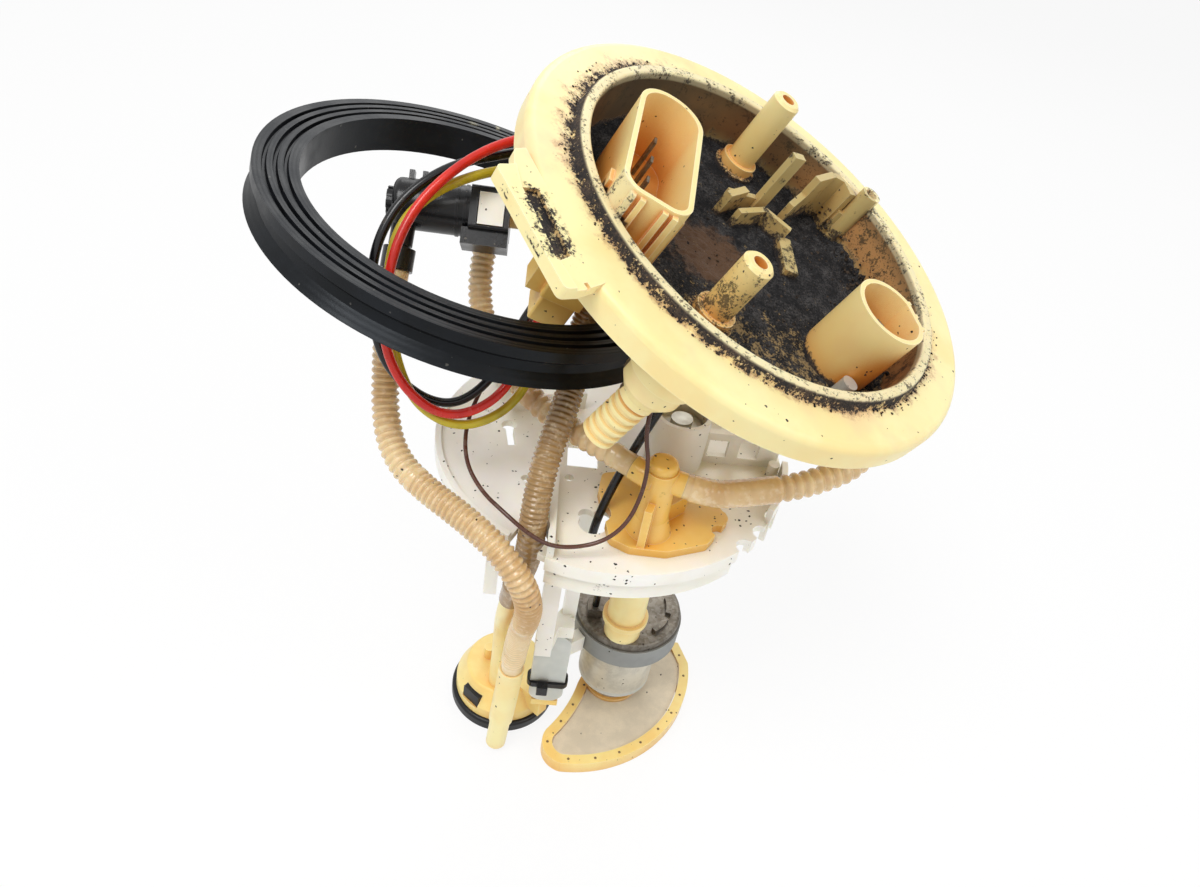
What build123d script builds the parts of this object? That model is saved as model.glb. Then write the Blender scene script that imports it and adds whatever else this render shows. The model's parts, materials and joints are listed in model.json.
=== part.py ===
from build123d import *
import math
import os

# In-tank fuel pump module, in millimetres, +Z up. The lower unit (plate, pump, strainer and
# foot valve) stands on its foot ring and strainer, and the tank cover hangs tilted above it
# on its hoses and wires. Everything is drawn about the axis of the lower plate; MIDDLE moves
# it so that the origin lies under the middle of the rigid pieces.

MIDDLE = (-11.76, 8.62)


def polar(radius, angle):
    """Plan point at a radius and an angle in degrees."""
    return radius * math.cos(math.radians(angle)), radius * math.sin(math.radians(angle))


# Fits between pieces.
SEAT = 0.3            # gap between two pieces that rest on each other
RUNNING = 0.05        # radial clearance of a shaft in its bushing
AIR_GAP = 0.5         # between turning and standing parts

# Cover: its own frame has Z along the cover's normal and its origin in the rim's top face.
COVER_CENTRE = (30.2, -5.6, 222.7)
COVER_ACROSS = (0.926, 0.09, -0.367)
COVER_NORMAL = (0.378, -0.210, 0.902)
COVER_RADIUS = 75.0
RIM_HEIGHT = 8.0
RIM_ROUND = 2.4
RIM_WIDTH = 13.0      # from the rim's edge in to the neck
NECK_WALL = 5.0
NECK_RADIUS = COVER_RADIUS - RIM_WIDTH
RECESS_RADIUS = NECK_RADIUS - NECK_WALL
RECESS_TAPER = 1.2
RECESS_DEPTH = 15.0
FLOOR = 2.2
LIP_HEIGHT = 3.0
LIP_WIDTH = 3.2
WALL = 1.5            # wall of the sockets moulded on the cover
UNDERSIDE = -(RECESS_DEPTH + FLOOR)

MAIN_SOCKET_AT = (16.7 - RECESS_RADIUS, -5.4)
MAIN_SOCKET_TURN = -7.5
MAIN_SOCKET_SIZE = (20.0, 51.0)
MAIN_SOCKET_TOP = 11.0
SOCKET_RIB = 2.4      # depth of the ribs on its outer walls, half of it sunk in the wall
SMALL_SOCKET_AT = polar(RECESS_RADIUS - 14.84, 326.12)
SMALL_SOCKET_RADIUS = 11.5
SMALL_SOCKET_TOP = 9.5
SOCKET_FLOOR = -9.0   # height of the sockets' inner floor
PIN_TOP = 3.0
PIN_SIZE = (0.8, 2.8)

NIPPLE_RADIUS = 4.7
NIPPLE_BORE = 4.4
NIPPLE_COLLAR = 6.2
FEED_NIPPLE = (3.5, RECESS_RADIUS - 8.5, 14.4)
RETURN_NIPPLE = (-11.0, -30.5, 9.0)

# Seal ring, loose below the cover, in a frame of its own.
RING_CENTRE = (-49.8, 23.8, 202.6)
RING_NORMAL = (0.23, -0.01, 0.97)
RING_OUTER = 71.0
RING_WIDTH = 13.2
RING_INNER = RING_OUTER - RING_WIDTH
RING_HEIGHT = 12.0
RING_GROOVE = 1.2

# Lower unit.
PLATE_TOP = 133.0
PLATE_RADIUS = 61.0
PLATE_THICKNESS = 2.5
RIM_STEP = 0.6        # from the plate's edge out to the faces of its walls
SKIRT_HEIGHT = 12.0
SKIRT_LIP = 5.0
SKIRT_WALL = 2.0
SOCKET_AT = (21.3, -3.3)
SOCKET_RADIUS = 10.0
SOCKET_HEIGHT = 20.0
TEE_AT = (10.5, -43.0)
TEE_RADIUS = 5.2
TEE_AXIS_Z = 156.8
TEE_BRANCH = 3.9
TEE_TOP = 163.8
TEE_BASE = 3.0
TEE_LEFT = (2.5, -39.8, 157.4)
TEE_LEFT_RUN = (-5.8, -34.6, 158.4)
TEE_RIGHT = (18.0, -44.4, 156.1)
TEE_RIGHT_RUN = (25.3, -46.3, 155.4)

# Pump.
PUMP_AT = (18.7, -3.5)
CAP_TOP = 55.0
CAP_RADIUS = 21.2
CAP_HEIGHT = 3.5
BAND_RADIUS = 22.0
BAND_HEIGHT = 9.5
CASE_RADIUS = 15.3
CASE_WALL = 1.0
CASE_BOTTOM = 16.0
INLET_RADIUS = 10.0
MAGNET_THICKNESS = 2.4
SHAFT_RADIUS = 1.5
IMPELLER_HEIGHT = 1.8
OUTLET_AT = (15.5, -17.0)
OUTLET_RADIUS = 7.2
OUTLET_BORE = 4.8
VALVE_LIFT = 2.0

# Strainer and foot valve.
STRAINER_HEIGHT = 6.0
STRAINER_RIM = 4.2
MESH = 0.6
FOOT_AT = (-27.7, -8.6)
FOOT_RADIUS = 21.7
FOOT_RING_HEIGHT = 4.5
DOME_RADIUS = 20.0
DOME_TOP_RADIUS = 15.8
DOME_TOP = 18.0
FOOT_WALL = 1.8
FLAP_RADIUS = 9.0
FLAP_LIFT = 1.5

# Hoses and wires.
HOSE = 8.8
FEED_HOSE = 8.4
PIPE = 8.0
WIRE = 2.8
THIN_WIRE = 1.3

COVER = Plane(origin=COVER_CENTRE, x_dir=COVER_ACROSS, z_dir=COVER_NORMAL)
RING = Plane(origin=RING_CENTRE, x_dir=(1, 0, -RING_NORMAL[0] / RING_NORMAL[2]), z_dir=RING_NORMAL)


def cover_point(u, v, h):
    """Point of the cover's frame, in the model's frame."""
    return COVER.from_local_coords(Vector(u, v, h))


def on_cover(shape):
    return COVER.location * shape


def upright(radius, low, high, at=(0, 0)):
    """Round rod or disc between two heights."""
    return Pos(at[0], at[1], (low + high) / 2) * Cylinder(radius, high - low)


def block(size, low, high, at, turn=0):
    """Upright block of the given (x, y) size between two heights."""
    return Pos(at[0], at[1], (low + high) / 2) * Rot(0, 0, turn) * Box(*size, high - low)


def tapered(bottom_radius, top_radius, low, high, at=(0, 0)):
    return Pos(at[0], at[1], (low + high) / 2) * Cone(bottom_radius, top_radius, high - low)


def rod(start, end, radius):
    """Straight round rod from one point to another."""
    start, end = Vector(*start), Vector(*end)
    section = Plane(origin=start, z_dir=end - start) * Circle(radius)
    return extrude(section, (end - start).length)


def wall_between(a, b, thickness, low, high):
    """Straight upright wall from one plan point to another."""
    length = math.hypot(b[0] - a[0], b[1] - a[1])
    turn = math.degrees(math.atan2(b[1] - a[1], b[0] - a[0]))
    middle = ((a[0] + b[0]) / 2, (a[1] + b[1]) / 2)
    return block((length, thickness), low, high, middle, turn)


def arc_wall(outer, thickness, low, high, start, sweep_angle):
    """Upright curved wall about the Z axis, between two heights."""
    profile = Pos(outer - thickness / 2, 0, 0) * Rectangle(thickness, high - low)
    profile = Plane.XZ * Pos(0, (low + high) / 2) * profile
    return Rot(0, 0, start) * revolve(profile, Axis.Z, sweep_angle)


def route_radii(points):
    radii = []
    for before, here, after in zip(points, points[1:], points[2:]):
        turn = math.radians((here - before).get_angle(after - here))
        shorter = min((here - before).length, (after - here).length)
        radii.append(0.45 * shorter / math.tan(turn / 2))
    return radii


def bent_rod(points, diameter):
    """Round rod along straight runs joined by tangent arcs."""
    points = [Vector(*point) for point in points]
    if len(points) > 2:
        path = FilletPolyline(*points, radius=route_radii(points))
    else:
        path = Line(*points)
    section = Plane(origin=path @ 0, z_dir=path % 0) * Circle(diameter / 2)
    return sweep(section, path=path)


def save(name, shape):
    shape = Compound(children=(Pos(-MIDDLE[0], -MIDDLE[1], 0) * shape).solids())
    shape.label = name
    export_step(shape, "parts/" + name + ".step")


# ---------------------------------------------------------------- cover

def rounded_socket(grow=0.0):
    """Plan of the main socket: one end is a half circle, the other has rounded corners."""
    width, length = MAIN_SOCKET_SIZE
    plan = Rectangle(width, length)
    plan = fillet(plan.vertices().group_by(Axis.Y)[-1], width * 0.48)
    plan = fillet(plan.vertices().group_by(Axis.Y)[0], width * 0.3)
    return offset(plan, grow) if grow else plan


def main_socket():
    height = MAIN_SOCKET_TOP + RECESS_DEPTH
    outside = Pos(0, 0, -RECESS_DEPTH) * extrude(rounded_socket(), height)
    inside = Pos(0, 0, SOCKET_FLOOR) * extrude(rounded_socket(-WALL), height)
    width, length = MAIN_SOCKET_SIZE
    for side in (-1, 1):
        for step in (0.16, 0.30):
            at = (side * width * step, -length / 2)
            outside += block((1.6, SOCKET_RIB), -RECESS_DEPTH, MAIN_SOCKET_TOP - 1, at)
        wedge = (side * width / 2, -length * 0.3)
        outside += block((SOCKET_RIB, 5.0), -RECESS_DEPTH, MAIN_SOCKET_TOP - 6, wedge)
    turned = Pos(*MAIN_SOCKET_AT, 0) * Rot(0, 0, MAIN_SOCKET_TURN)
    return turned * outside, turned * inside


def small_socket():
    flat = SMALL_SOCKET_RADIUS * 0.93
    plan = Circle(SMALL_SOCKET_RADIUS)
    plan -= Pos(flat + SMALL_SOCKET_RADIUS, 0) * Rectangle(2 * SMALL_SOCKET_RADIUS, 60)
    height = SMALL_SOCKET_TOP + RECESS_DEPTH
    outside = Pos(0, 0, -RECESS_DEPTH) * extrude(plan, height)
    inside = Pos(0, 0, SOCKET_FLOOR) * extrude(offset(plan, -WALL), height)
    for place in (-0.4, 0.0, 0.4):
        at = (flat, place * SMALL_SOCKET_RADIUS)
        outside += block((1.4, 1.2), -RECESS_DEPTH, SMALL_SOCKET_TOP, at)
    turned = Pos(*SMALL_SOCKET_AT, 0) * Rot(0, 0, 20)
    return turned * outside, turned * inside


def nipple(at, tip):
    """Hose nipple on a collar, with a rolled bead near its mouth."""
    tube = upright(NIPPLE_RADIUS, -RECESS_DEPTH, tip, at)
    tube = chamfer(tube.edges().sort_by(Axis.Z)[-1], 0.9)
    collar = upright(NIPPLE_COLLAR, -RECESS_DEPTH, -RECESS_DEPTH + 5, at)
    collar += upright(NIPPLE_COLLAR + 1.2, -RECESS_DEPTH, -RECESS_DEPTH + 2, at)
    bore = upright(NIPPLE_BORE / 2, UNDERSIDE - 20, tip + 1, at)
    return tube + collar, bore


CLIP_AT = polar(RECESS_RADIUS, 41.5)


def cable_clip():
    """Open clip on the recess floor: a prong, a wedge, a U and a raised arm that ends in an eye."""
    floor = -RECESS_DEPTH
    clip = block((4.2, 2.6), floor, 10.5, (-34.4, -10.3), 20)
    clip += wall_between((-48.7, -19.3), (-41.5, -11.9), 2.4, floor, -6)
    clip += wall_between((-43.6, -21.8), (-32.8, -13.8), 2.0, floor, -8)
    clip += wall_between((-46.9, -13.8), (-34.4, -9.3), 2.0, floor, -8)
    clip += wall_between((-32.8, -13.8), (-23.3, -17.6), 2.0, floor, -8)
    clip += wall_between((-25.6, -11.1), (-19.3, -1.5), 2.2, floor, -4)
    clip += wall_between((-19.3, -1.5), (-11.2, 6.7), 2.4, floor, 3)
    clip += wall_between((-11.2, 6.7), (-6.1, 6.8), 2.4, floor, 3)
    clip += wall_between((-6.1, 6.8), (-4.2, 0.7), 2.4, floor, 3)
    clip += wall_between((-4.2, 0.7), (0.7, 0.6), 2.4, floor, -4)
    clip += wall_between((-23.3, -17.6), (-22.0, -33.3), 5.0, floor, -11.5)
    eye = (0.7, 0.6)
    clip += upright(3.4, floor, 6.3, eye) - upright(2.15, floor, 7, eye)
    return Pos(*CLIP_AT, 0) * clip


# Plan points of the lug as (reach past the rim's edge, angle).
LUG_OUTLINE = [(-2.28, 211.5), (1.38, 193.71), (4.81, 194.94), (6.23, 199.64), (11.88, 200.73),
               (11.73, 225.07), (6.19, 226.0), (-2.93, 226.07)]
LUG_STRIP_EDGE = [(5.9, 199.42), (14.54, 200.26), (15.55, 226.79), (8.56, 227.09), (7.43, 219.83),
                  (6.7, 204.75)]
LUG_POCKET_EDGE = [(6.45, 204.36), (1.32, 204.05), (2.61, 219.25), (7.98, 219.96)]
LUG_THICKNESS = 3.0
LUG_STRIP = 0.8       # how far its outer strip stands up
LUG_POCKET = 1.6


def lug_plan(places):
    return make_face(Polyline(*[polar(COVER_RADIUS + reach, turn) for reach, turn in places], close=True))


def latch_tab():
    """Lug beside the rim that takes the tank's locking ring, with a raised strip and a pocket."""
    plan = lug_plan(LUG_OUTLINE)
    corners = plan.vertices().sort_by(lambda v: v.X)[:3] + plan.vertices().sort_by(Axis.Y)[:1]
    plan = fillet(corners, 1.5)
    lug = Pos(0, 0, -LUG_THICKNESS) * extrude(plan, LUG_THICKNESS)
    lug += extrude(plan & lug_plan(LUG_STRIP_EDGE), LUG_STRIP)
    pocket = Pos(0, 0, -LUG_POCKET) * extrude(lug_plan(LUG_POCKET_EDGE), LUG_POCKET + 2)
    pocket += block((3.2, 1.2), -1.0, 1, polar(COVER_RADIUS + 4.1, 226.0), -50)
    return lug, pocket


def cover_spigot():
    """Closed vent housing under the rim that the short ribbed stub plugs into."""
    body = upright(10.5, -19, -RIM_HEIGHT, VENT_AT)
    body += upright(9.0, VENT_SEAT + 4, -19, VENT_AT)
    body += tapered(6.4, 9.0, VENT_SEAT, VENT_SEAT + 4, VENT_AT)
    return body + rod((*VENT_AT, VENT_SEAT + 4), VENT_START, 5.6)


VENT_AT = polar(NECK_RADIUS - 6.46, 246.67)
VENT_SEAT = -29.0
VENT_START = (VENT_AT[0] - 0.9, VENT_AT[1] - 0.7, -31.8)
VENT_LENGTH = 17.0
ELBOW_DROP = 11.0
FEED_ELBOW = (RECESS_RADIUS - 12.3, 0.4)
FEED_ELBOW_END = (67.0, -4.5, 176.0)
SUPPLY_ELBOW = (-30.0, 30.0)
SUPPLY_ELBOW_END = (-19.7, 27.0, 211.6)
QUICK_ELBOW = (-39.0, 14.5)
RETURN_STUB = (MAIN_SOCKET_AT[0] + 8.3, -9.4)
RETURN_STUB_LENGTH = 12.0


def cover():
    lip_inner = RECESS_RADIUS + RECESS_TAPER
    outline = Polyline((0, -RECESS_DEPTH), (RECESS_RADIUS, -RECESS_DEPTH), (lip_inner, LIP_HEIGHT),
                       (lip_inner + LIP_WIDTH, LIP_HEIGHT), (lip_inner + LIP_WIDTH + 1, 0),
                       (COVER_RADIUS, 0), (COVER_RADIUS, -RIM_HEIGHT), (NECK_RADIUS, -RIM_HEIGHT),
                       (NECK_RADIUS, UNDERSIDE), (0, UNDERSIDE), close=True)
    body = revolve(Plane.XZ * make_face(outline), Axis.Z)
    rim = body.edges().filter_by(GeomType.CIRCLE).filter_by(lambda e: e.radius > COVER_RADIUS - 0.01)
    body = fillet(rim.group_by(Axis.Z)[-1], RIM_ROUND)
    lip = body.edges().filter_by(GeomType.CIRCLE).filter_by(
        lambda e: abs(e.radius - lip_inner - LIP_WIDTH / 2) < LIP_WIDTH / 2 + 0.01)
    body = fillet(lip.group_by(Axis.Z)[-1], LIP_WIDTH * 0.3)
    lug, pocket = latch_tab()
    body += lug
    body -= pocket
    sockets = [main_socket(), small_socket()]
    nipples = [nipple(FEED_NIPPLE[:2], FEED_NIPPLE[2]), nipple(RETURN_NIPPLE[:2], RETURN_NIPPLE[2])]
    for outside, inside in sockets + nipples:
        body = body + outside - inside
    body += cable_clip()
    body += cover_spigot()
    for turn in (20, 45, 70, 95, 250, 275, 300, 325):
        rib = wall_between((NECK_RADIUS - 18, 0), (NECK_RADIUS - 1, 0), 1.6, UNDERSIDE - 3, UNDERSIDE)
        body += Rot(0, 0, turn) * rib
    return on_cover(body)


def elbow_points(base, end):
    """Route of a pipe that leaves the cover's underside and turns towards its end."""
    corner = cover_point(*base, UNDERSIDE - ELBOW_DROP)
    return [cover_point(*base, UNDERSIDE), corner, Vector(*end)]


QUICK_DROP = 19.8
QUICK_CORNER = cover_point(*QUICK_ELBOW, UNDERSIDE - QUICK_DROP)
QUICK_AXIS_Y = QUICK_CORNER.Y
QUICK_AXIS_Z = QUICK_CORNER.Z
COLLAR_X = (-54.3, -42.3)


def cover_pipes():
    """Elbows and the stub under the cover that the hoses and the quick connector plug onto."""
    feed = bent_rod(elbow_points(FEED_ELBOW, FEED_ELBOW_END), FEED_HOSE - 1.6)
    supply = bent_rod(elbow_points(SUPPLY_ELBOW, SUPPLY_ELBOW_END), PIPE - 1.4)
    quick_end = (COLLAR_X[1], QUICK_AXIS_Y, QUICK_AXIS_Z)
    quick = bent_rod([cover_point(*QUICK_ELBOW, UNDERSIDE), QUICK_CORNER, quick_end], PIPE - 1.4)
    stub = upright(3.6, UNDERSIDE - RETURN_STUB_LENGTH, UNDERSIDE, RETURN_STUB)
    return feed, supply, quick, on_cover(stub)


def vent_stub():
    """Short ribbed hose stub, open at its end, on the vent housing."""
    start = cover_point(*VENT_START)
    direction = start - cover_point(*VENT_AT, VENT_SEAT + 4)
    length = VENT_LENGTH
    ribs = 6
    pitch = length / ribs
    outline = [(2.9, 0)]
    for rib in range(ribs):
        low = rib * pitch
        outline += [(4.4, low), (4.4, low + pitch * 0.3), (5.2, low + pitch * 0.45),
                    (5.2, low + pitch * 0.8)]
    outline += [(4.4, length), (2.9, length)]
    body = revolve(Plane.XZ * make_face(Polyline(*outline, close=True)), Axis.Z)
    return Plane(origin=start, z_dir=direction).location * body


def blade_pins(places, turn):
    """Flat terminals that stand in a socket, one solid each."""
    pins = [block(PIN_SIZE, SOCKET_FLOOR, PIN_TOP, at, turn) for at in places]
    return on_cover(Compound(children=pins))


def main_pins():
    turn = math.radians(MAIN_SOCKET_TURN)
    places = []
    for row in (-1.5, -0.5, 0.5, 1.5):
        along = row * MAIN_SOCKET_SIZE[1] * 0.19
        x = MAIN_SOCKET_AT[0] - along * math.sin(turn)
        y = MAIN_SOCKET_AT[1] + along * math.cos(turn)
        places.append((x, y))
    return blade_pins(places, MAIN_SOCKET_TURN)


def small_pins():
    x, y = SMALL_SOCKET_AT
    return blade_pins([(x - 2.5, y - 2.5), (x + 2.5, y + 2.5)], 45)


PLUG_AT = (MAIN_SOCKET_AT[0] - 3.2, -13.0)
PLUG_SIZE = (13.0, 14.0)
PLUG_STEP = -40.0
PLUG_BOTTOM = -50.0


def inner_plug():
    """Wire plug under the main socket: a stepped body with a latch ear and a rail."""
    width, length = PLUG_SIZE
    body = block(PLUG_SIZE, PLUG_STEP, UNDERSIDE, PLUG_AT)
    body += block((width - 2, length - 2), PLUG_BOTTOM, PLUG_STEP, PLUG_AT)
    body = fillet(body.edges().filter_by(Axis.Z), 0.8)
    body += block((4.5, 9.0), PLUG_STEP - 1, PLUG_STEP + 10, (PLUG_AT[0] - width / 2 - 2, PLUG_AT[1]))
    body += block((width * 0.4, 4), PLUG_STEP + 5, UNDERSIDE - 3, (PLUG_AT[0], PLUG_AT[1] + length / 2))
    return on_cover(body)


PEG_AT = (SMALL_SOCKET_AT[0] - 2.0012, SMALL_SOCKET_AT[1] - 14.1937)


def peg():
    return on_cover(upright(2.5, -RECESS_DEPTH, -8.0, PEG_AT))


def seal_ring():
    """Thick seal with three grooves in its top face and a flared lower lip."""
    groove_start = RING_INNER + 2.0
    spacing = (RING_WIDTH - 4.0) / 3
    outline = [(RING_INNER, -RING_HEIGHT), (RING_INNER, 0)]
    for groove in range(3):
        at = groove_start + spacing * (groove + 0.3)
        outline += [(at, 0), (at + 0.35, -RING_GROOVE), (at + 1.05, -RING_GROOVE), (at + 1.4, 0)]
    outline += [(RING_OUTER, 0), (RING_OUTER, -RING_HEIGHT * 0.28)]
    outline += [(RING_OUTER - 2.6, -RING_HEIGHT * 0.48), (RING_OUTER - 2.2, -RING_HEIGHT * 0.72)]
    outline += [(RING_OUTER + 0.8, -RING_HEIGHT)]
    ring = revolve(Plane.XZ * make_face(Polyline(*outline, close=True)), Axis.Z)
    return RING.location * ring


# ---------------------------------------------------------------- quick connector

CONNECTOR_RADIUS = 7.6
CONNECTOR_LEFT = -77.6
BARB_X = -73.6
BARB_DIRECTION = (-0.06, -0.629, -0.775)
BARB_NECK = 3.6
BARB_BORE = 2.9
BARB_LENGTH = 20.5
SLEEVE_RADIUS = 4.9
SLEEVE_START = 13.8
COLLAR_HEIGHT = 13.0
COLLAR_DEPTH = 17.0
RETAINER_SIZE = (7.6, 9.6, 4.0)
RETAINER_SHIFT = -0.4
RETAINER_TRAVEL = 2.0

# The connector's own frame: X along its axis, Z out of the face that carries the retainer. The
# barb leaves along its -Y, so the whole connector is turned about its axis.
CONNECTOR = Plane(origin=(0, QUICK_AXIS_Y, QUICK_AXIS_Z), x_dir=(1, 0, 0), z_dir=(0, -0.777, 0.629))


def barb_point(distance):
    return Vector(BARB_X, QUICK_AXIS_Y, QUICK_AXIS_Z) + Vector(*BARB_DIRECTION) * distance


def along_x(radius, left, right):
    """Round rod on the connector's axis, in its own frame."""
    return Pos((left + right) / 2, 0, 0) * Rot(0, 90, 0) * Cylinder(radius, right - left)


def retainer_pocket(grow=0.0):
    width, height, depth = RETAINER_SIZE
    face = COLLAR_DEPTH / 2
    low = face - depth - (RETAINER_TRAVEL if grow else 0) - grow
    at = ((COLLAR_X[0] + COLLAR_X[1]) / 2 + 0.4, RETAINER_SHIFT)
    return block((width + 2 * grow, height + 2 * grow), low, face + (1 if grow else 0.4), at)


def connector_body():
    """Quick connector: round body, two rings, square collar with a stop, and a neck with its barb."""
    body = along_x(CONNECTOR_RADIUS, CONNECTOR_LEFT, COLLAR_X[0])
    body = fillet(body.edges().sort_by(Axis.X)[:1], 2.4)
    for x in (-58.6, -56.2):
        body += along_x(CONNECTOR_RADIUS + 0.3, x, x + 0.9)
    middle = (COLLAR_X[0] + COLLAR_X[1]) / 2
    collar = Pos(middle, 0, 0) * Box(COLLAR_X[1] - COLLAR_X[0], COLLAR_HEIGHT, COLLAR_DEPTH)
    body += fillet(collar.edges().filter_by(Axis.X), 1.0)
    body += Pos(middle - 1, -COLLAR_HEIGHT / 2 - 2, 1.0) * Box(COLLAR_X[1] - COLLAR_X[0] + 2, 5.0, 11.0)
    for x in (-73.0, -69.0):
        body += Pos(x, CONNECTOR_RADIUS, 0) * Box(1.6, 5.0, 3.0)
    body -= retainer_pocket(SEAT)
    body = CONNECTOR.location * body
    body += rod(barb_point(0), barb_point(BARB_LENGTH), BARB_BORE)
    return body + rod(barb_point(0), barb_point(SLEEVE_START - 1), BARB_NECK)


def connector_cap():
    """Notched end cap of the quick connector."""
    cap = along_x(CONNECTOR_RADIUS - 3, CONNECTOR_LEFT - 1.8, CONNECTOR_LEFT)
    for step in range(8):
        cap -= Rot(step * 45, 0, 0) * Pos(CONNECTOR_LEFT - 0.9, CONNECTOR_RADIUS - 3, 0) * Box(3.0, 1.0, 1.2)
    return CONNECTOR.location * cap


def connector_retainer():
    return CONNECTOR.location * retainer_pocket()


def barb_sleeve():
    sleeve = rod(barb_point(SLEEVE_START), barb_point(BARB_LENGTH), SLEEVE_RADIUS)
    return sleeve - rod(barb_point(SLEEVE_START - 1), barb_point(BARB_LENGTH + 1), BARB_BORE)


# ---------------------------------------------------------------- plate

HOSE_NOTCH = polar(PLATE_RADIUS - 6.47, 242.35)
WIRE_HOLE = (12.0, 38.0)
PILLARS = (polar(PLATE_RADIUS - 12.59, 141.71), polar(PLATE_RADIUS - 11.0, 36.87))
PILLAR_RADIUS = 5.0


def plate():
    low = PLATE_TOP - PLATE_THICKNESS
    body = upright(PLATE_RADIUS - RIM_STEP, low, PLATE_TOP)
    body += arc_wall(PLATE_RADIUS, SKIRT_WALL, PLATE_TOP - SKIRT_LIP, PLATE_TOP, 250, 70)
    body += arc_wall(PLATE_RADIUS - 1.5, SKIRT_WALL, PLATE_TOP - SKIRT_HEIGHT, PLATE_TOP - 1, 250, 62)
    body += arc_wall(PLATE_RADIUS, SKIRT_WALL, PLATE_TOP - 3.5, PLATE_TOP + 2.0, 168, 70)
    body += arc_wall(PLATE_RADIUS, SKIRT_WALL, PLATE_TOP - 8, PLATE_TOP + 6.0, -32, 26)
    body += arc_wall(PLATE_RADIUS - 2, SKIRT_WALL, PLATE_TOP - 1, PLATE_TOP + 12, 0, 50)
    body += wall_between((29.0, -3.0), (PLATE_RADIUS - 4, -2.0), 2.2, PLATE_TOP - 1, PLATE_TOP + 13)
    body += wall_between((-19.2, -17.8), polar(PLATE_RADIUS - 0.76, 251.11), 2.2, PLATE_TOP - 1, PLATE_TOP + 5)
    body += wall_between((-36, 14), (-10, 20), 2.2, PLATE_TOP - 1, PLATE_TOP + 7)
    body += upright(SOCKET_RADIUS, PLATE_TOP - 1, PLATE_TOP + SOCKET_HEIGHT, SOCKET_AT)
    body += upright(2.0, PLATE_TOP - 1, PLATE_TOP + 5, polar(PLATE_RADIUS - 4.56, 352.87))
    for at in PILLARS:
        body += upright(PILLAR_RADIUS, PLATE_TOP - 14, PLATE_TOP + 9, at)
    body += block((4.2, 2.2), PLATE_TOP - 30, PLATE_TOP - 1, polar(PLATE_RADIUS - 2.28, 231.57))
    # Windows, keyhole, pocket, holes and notches.
    body -= upright(SOCKET_RADIUS - 1.6, PLATE_TOP + 2, PLATE_TOP + SOCKET_HEIGHT + 1, SOCKET_AT)
    for at in PILLARS:
        body -= upright(PILLAR_RADIUS - 1.6, PLATE_TOP - 15, PLATE_TOP + 10, at)
    for inward in (25.0, 14.0):
        body -= block((7.0, 6.0), PLATE_TOP + 3, PLATE_TOP + 10, (PLATE_RADIUS - inward, -2.6))
    for turn in (12, 30):
        body -= Rot(0, 0, turn) * block((10.0, 9.0), PLATE_TOP + 3, PLATE_TOP + 9, (PLATE_RADIUS - 3, 0))
    body -= upright(2.6, low - 1, PLATE_TOP + 1, (-36.5, 4.6))
    body -= wall_between((-36.5, 4.6), (-34.6, -6.2), 2.6, low - 1, PLATE_TOP + 1)
    body -= block((10.5, 12.5), low - 1, PLATE_TOP + 1, (-10.2, -7.4))
    body -= upright(1.6, low - 1, PLATE_TOP + 1, (-28.8, -22.3))
    body -= upright(1.6, low - 1, PLATE_TOP + 1, (-14.6, -19.8))
    for at, radius in (((-6.5, -40.5), 4.6), ((-3.4, -36.5), 3.0), ((-8.6, -36.6), 2.6)):
        body -= upright(radius, low - 1, PLATE_TOP + 1, at)
    notch_radius = HOSE / 2 + 0.7
    body -= upright(notch_radius, low - 12, PLATE_TOP + 8, HOSE_NOTCH)
    mouth = polar(PLATE_RADIUS + 6.9, 242.83)
    body -= wall_between(HOSE_NOTCH, mouth, 2 * notch_radius, low - 12, PLATE_TOP + 8)
    body -= upright(6.5, low - 1, PLATE_TOP + 1, WIRE_HOLE)
    body -= block((9.0, 15.0), low - 1, PLATE_TOP + 1, polar(PLATE_RADIUS - 7.19, 131.99))
    for turn in (314, 323, 332):
        body -= Rot(0, 0, turn) * upright(3.2, PLATE_TOP - 14, PLATE_TOP + 1, (PLATE_RADIUS, 0))
    return body


LEVEL_PLUG_AT = (21.0, 34.8)
LEVEL_PLUG_TOP = PLATE_TOP + 11.0


def level_plug():
    """Small wire plug that stands on the plate."""
    body = block((11.0, 7.0), PLATE_TOP, LEVEL_PLUG_TOP, LEVEL_PLUG_AT)
    return body + block((7.0, 1.6), PLATE_TOP, PLATE_TOP + 7, (LEVEL_PLUG_AT[0], LEVEL_PLUG_AT[1] - 4))


def regulator():
    """Pressure regulator in the plate's round socket."""
    radius = SOCKET_RADIUS - 1.6 - 0.1
    floor = PLATE_TOP + 2
    body = upright(radius, floor, floor + 13, SOCKET_AT)
    body = fillet(body.edges().group_by(Axis.Z)[-1], 1.5)
    body += upright(radius * 0.45, floor + 13, floor + 15.5, SOCKET_AT)
    return body


TEE_EDGE = [(-5.2, -27.6), (-3.9, -19.0), (10.0, -15.5), (24.0, -17.5), (34.2, -25.7),
            (37.2, -35.2), (29.0, -47.5), (16.0, -52.6), (4.5, -52.4), (-1.8, -49.0)]
TEE_CORNER = 3.0
TEE_NICKS = [(37.5, -30.0, 2.6), (33.5, -41.0, 2.6), (-6.4, -38.2, 5.2)]


def tee_base_plan():
    plan = make_face(Polyline(*TEE_EDGE, close=True))
    plan = fillet(plan.vertices(), TEE_CORNER)
    for x, y, radius in TEE_NICKS:
        plan -= Pos(x, y) * Circle(radius)
    return plan - Pos(*SOCKET_AT) * Circle(SOCKET_RADIUS + SEAT)


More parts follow.
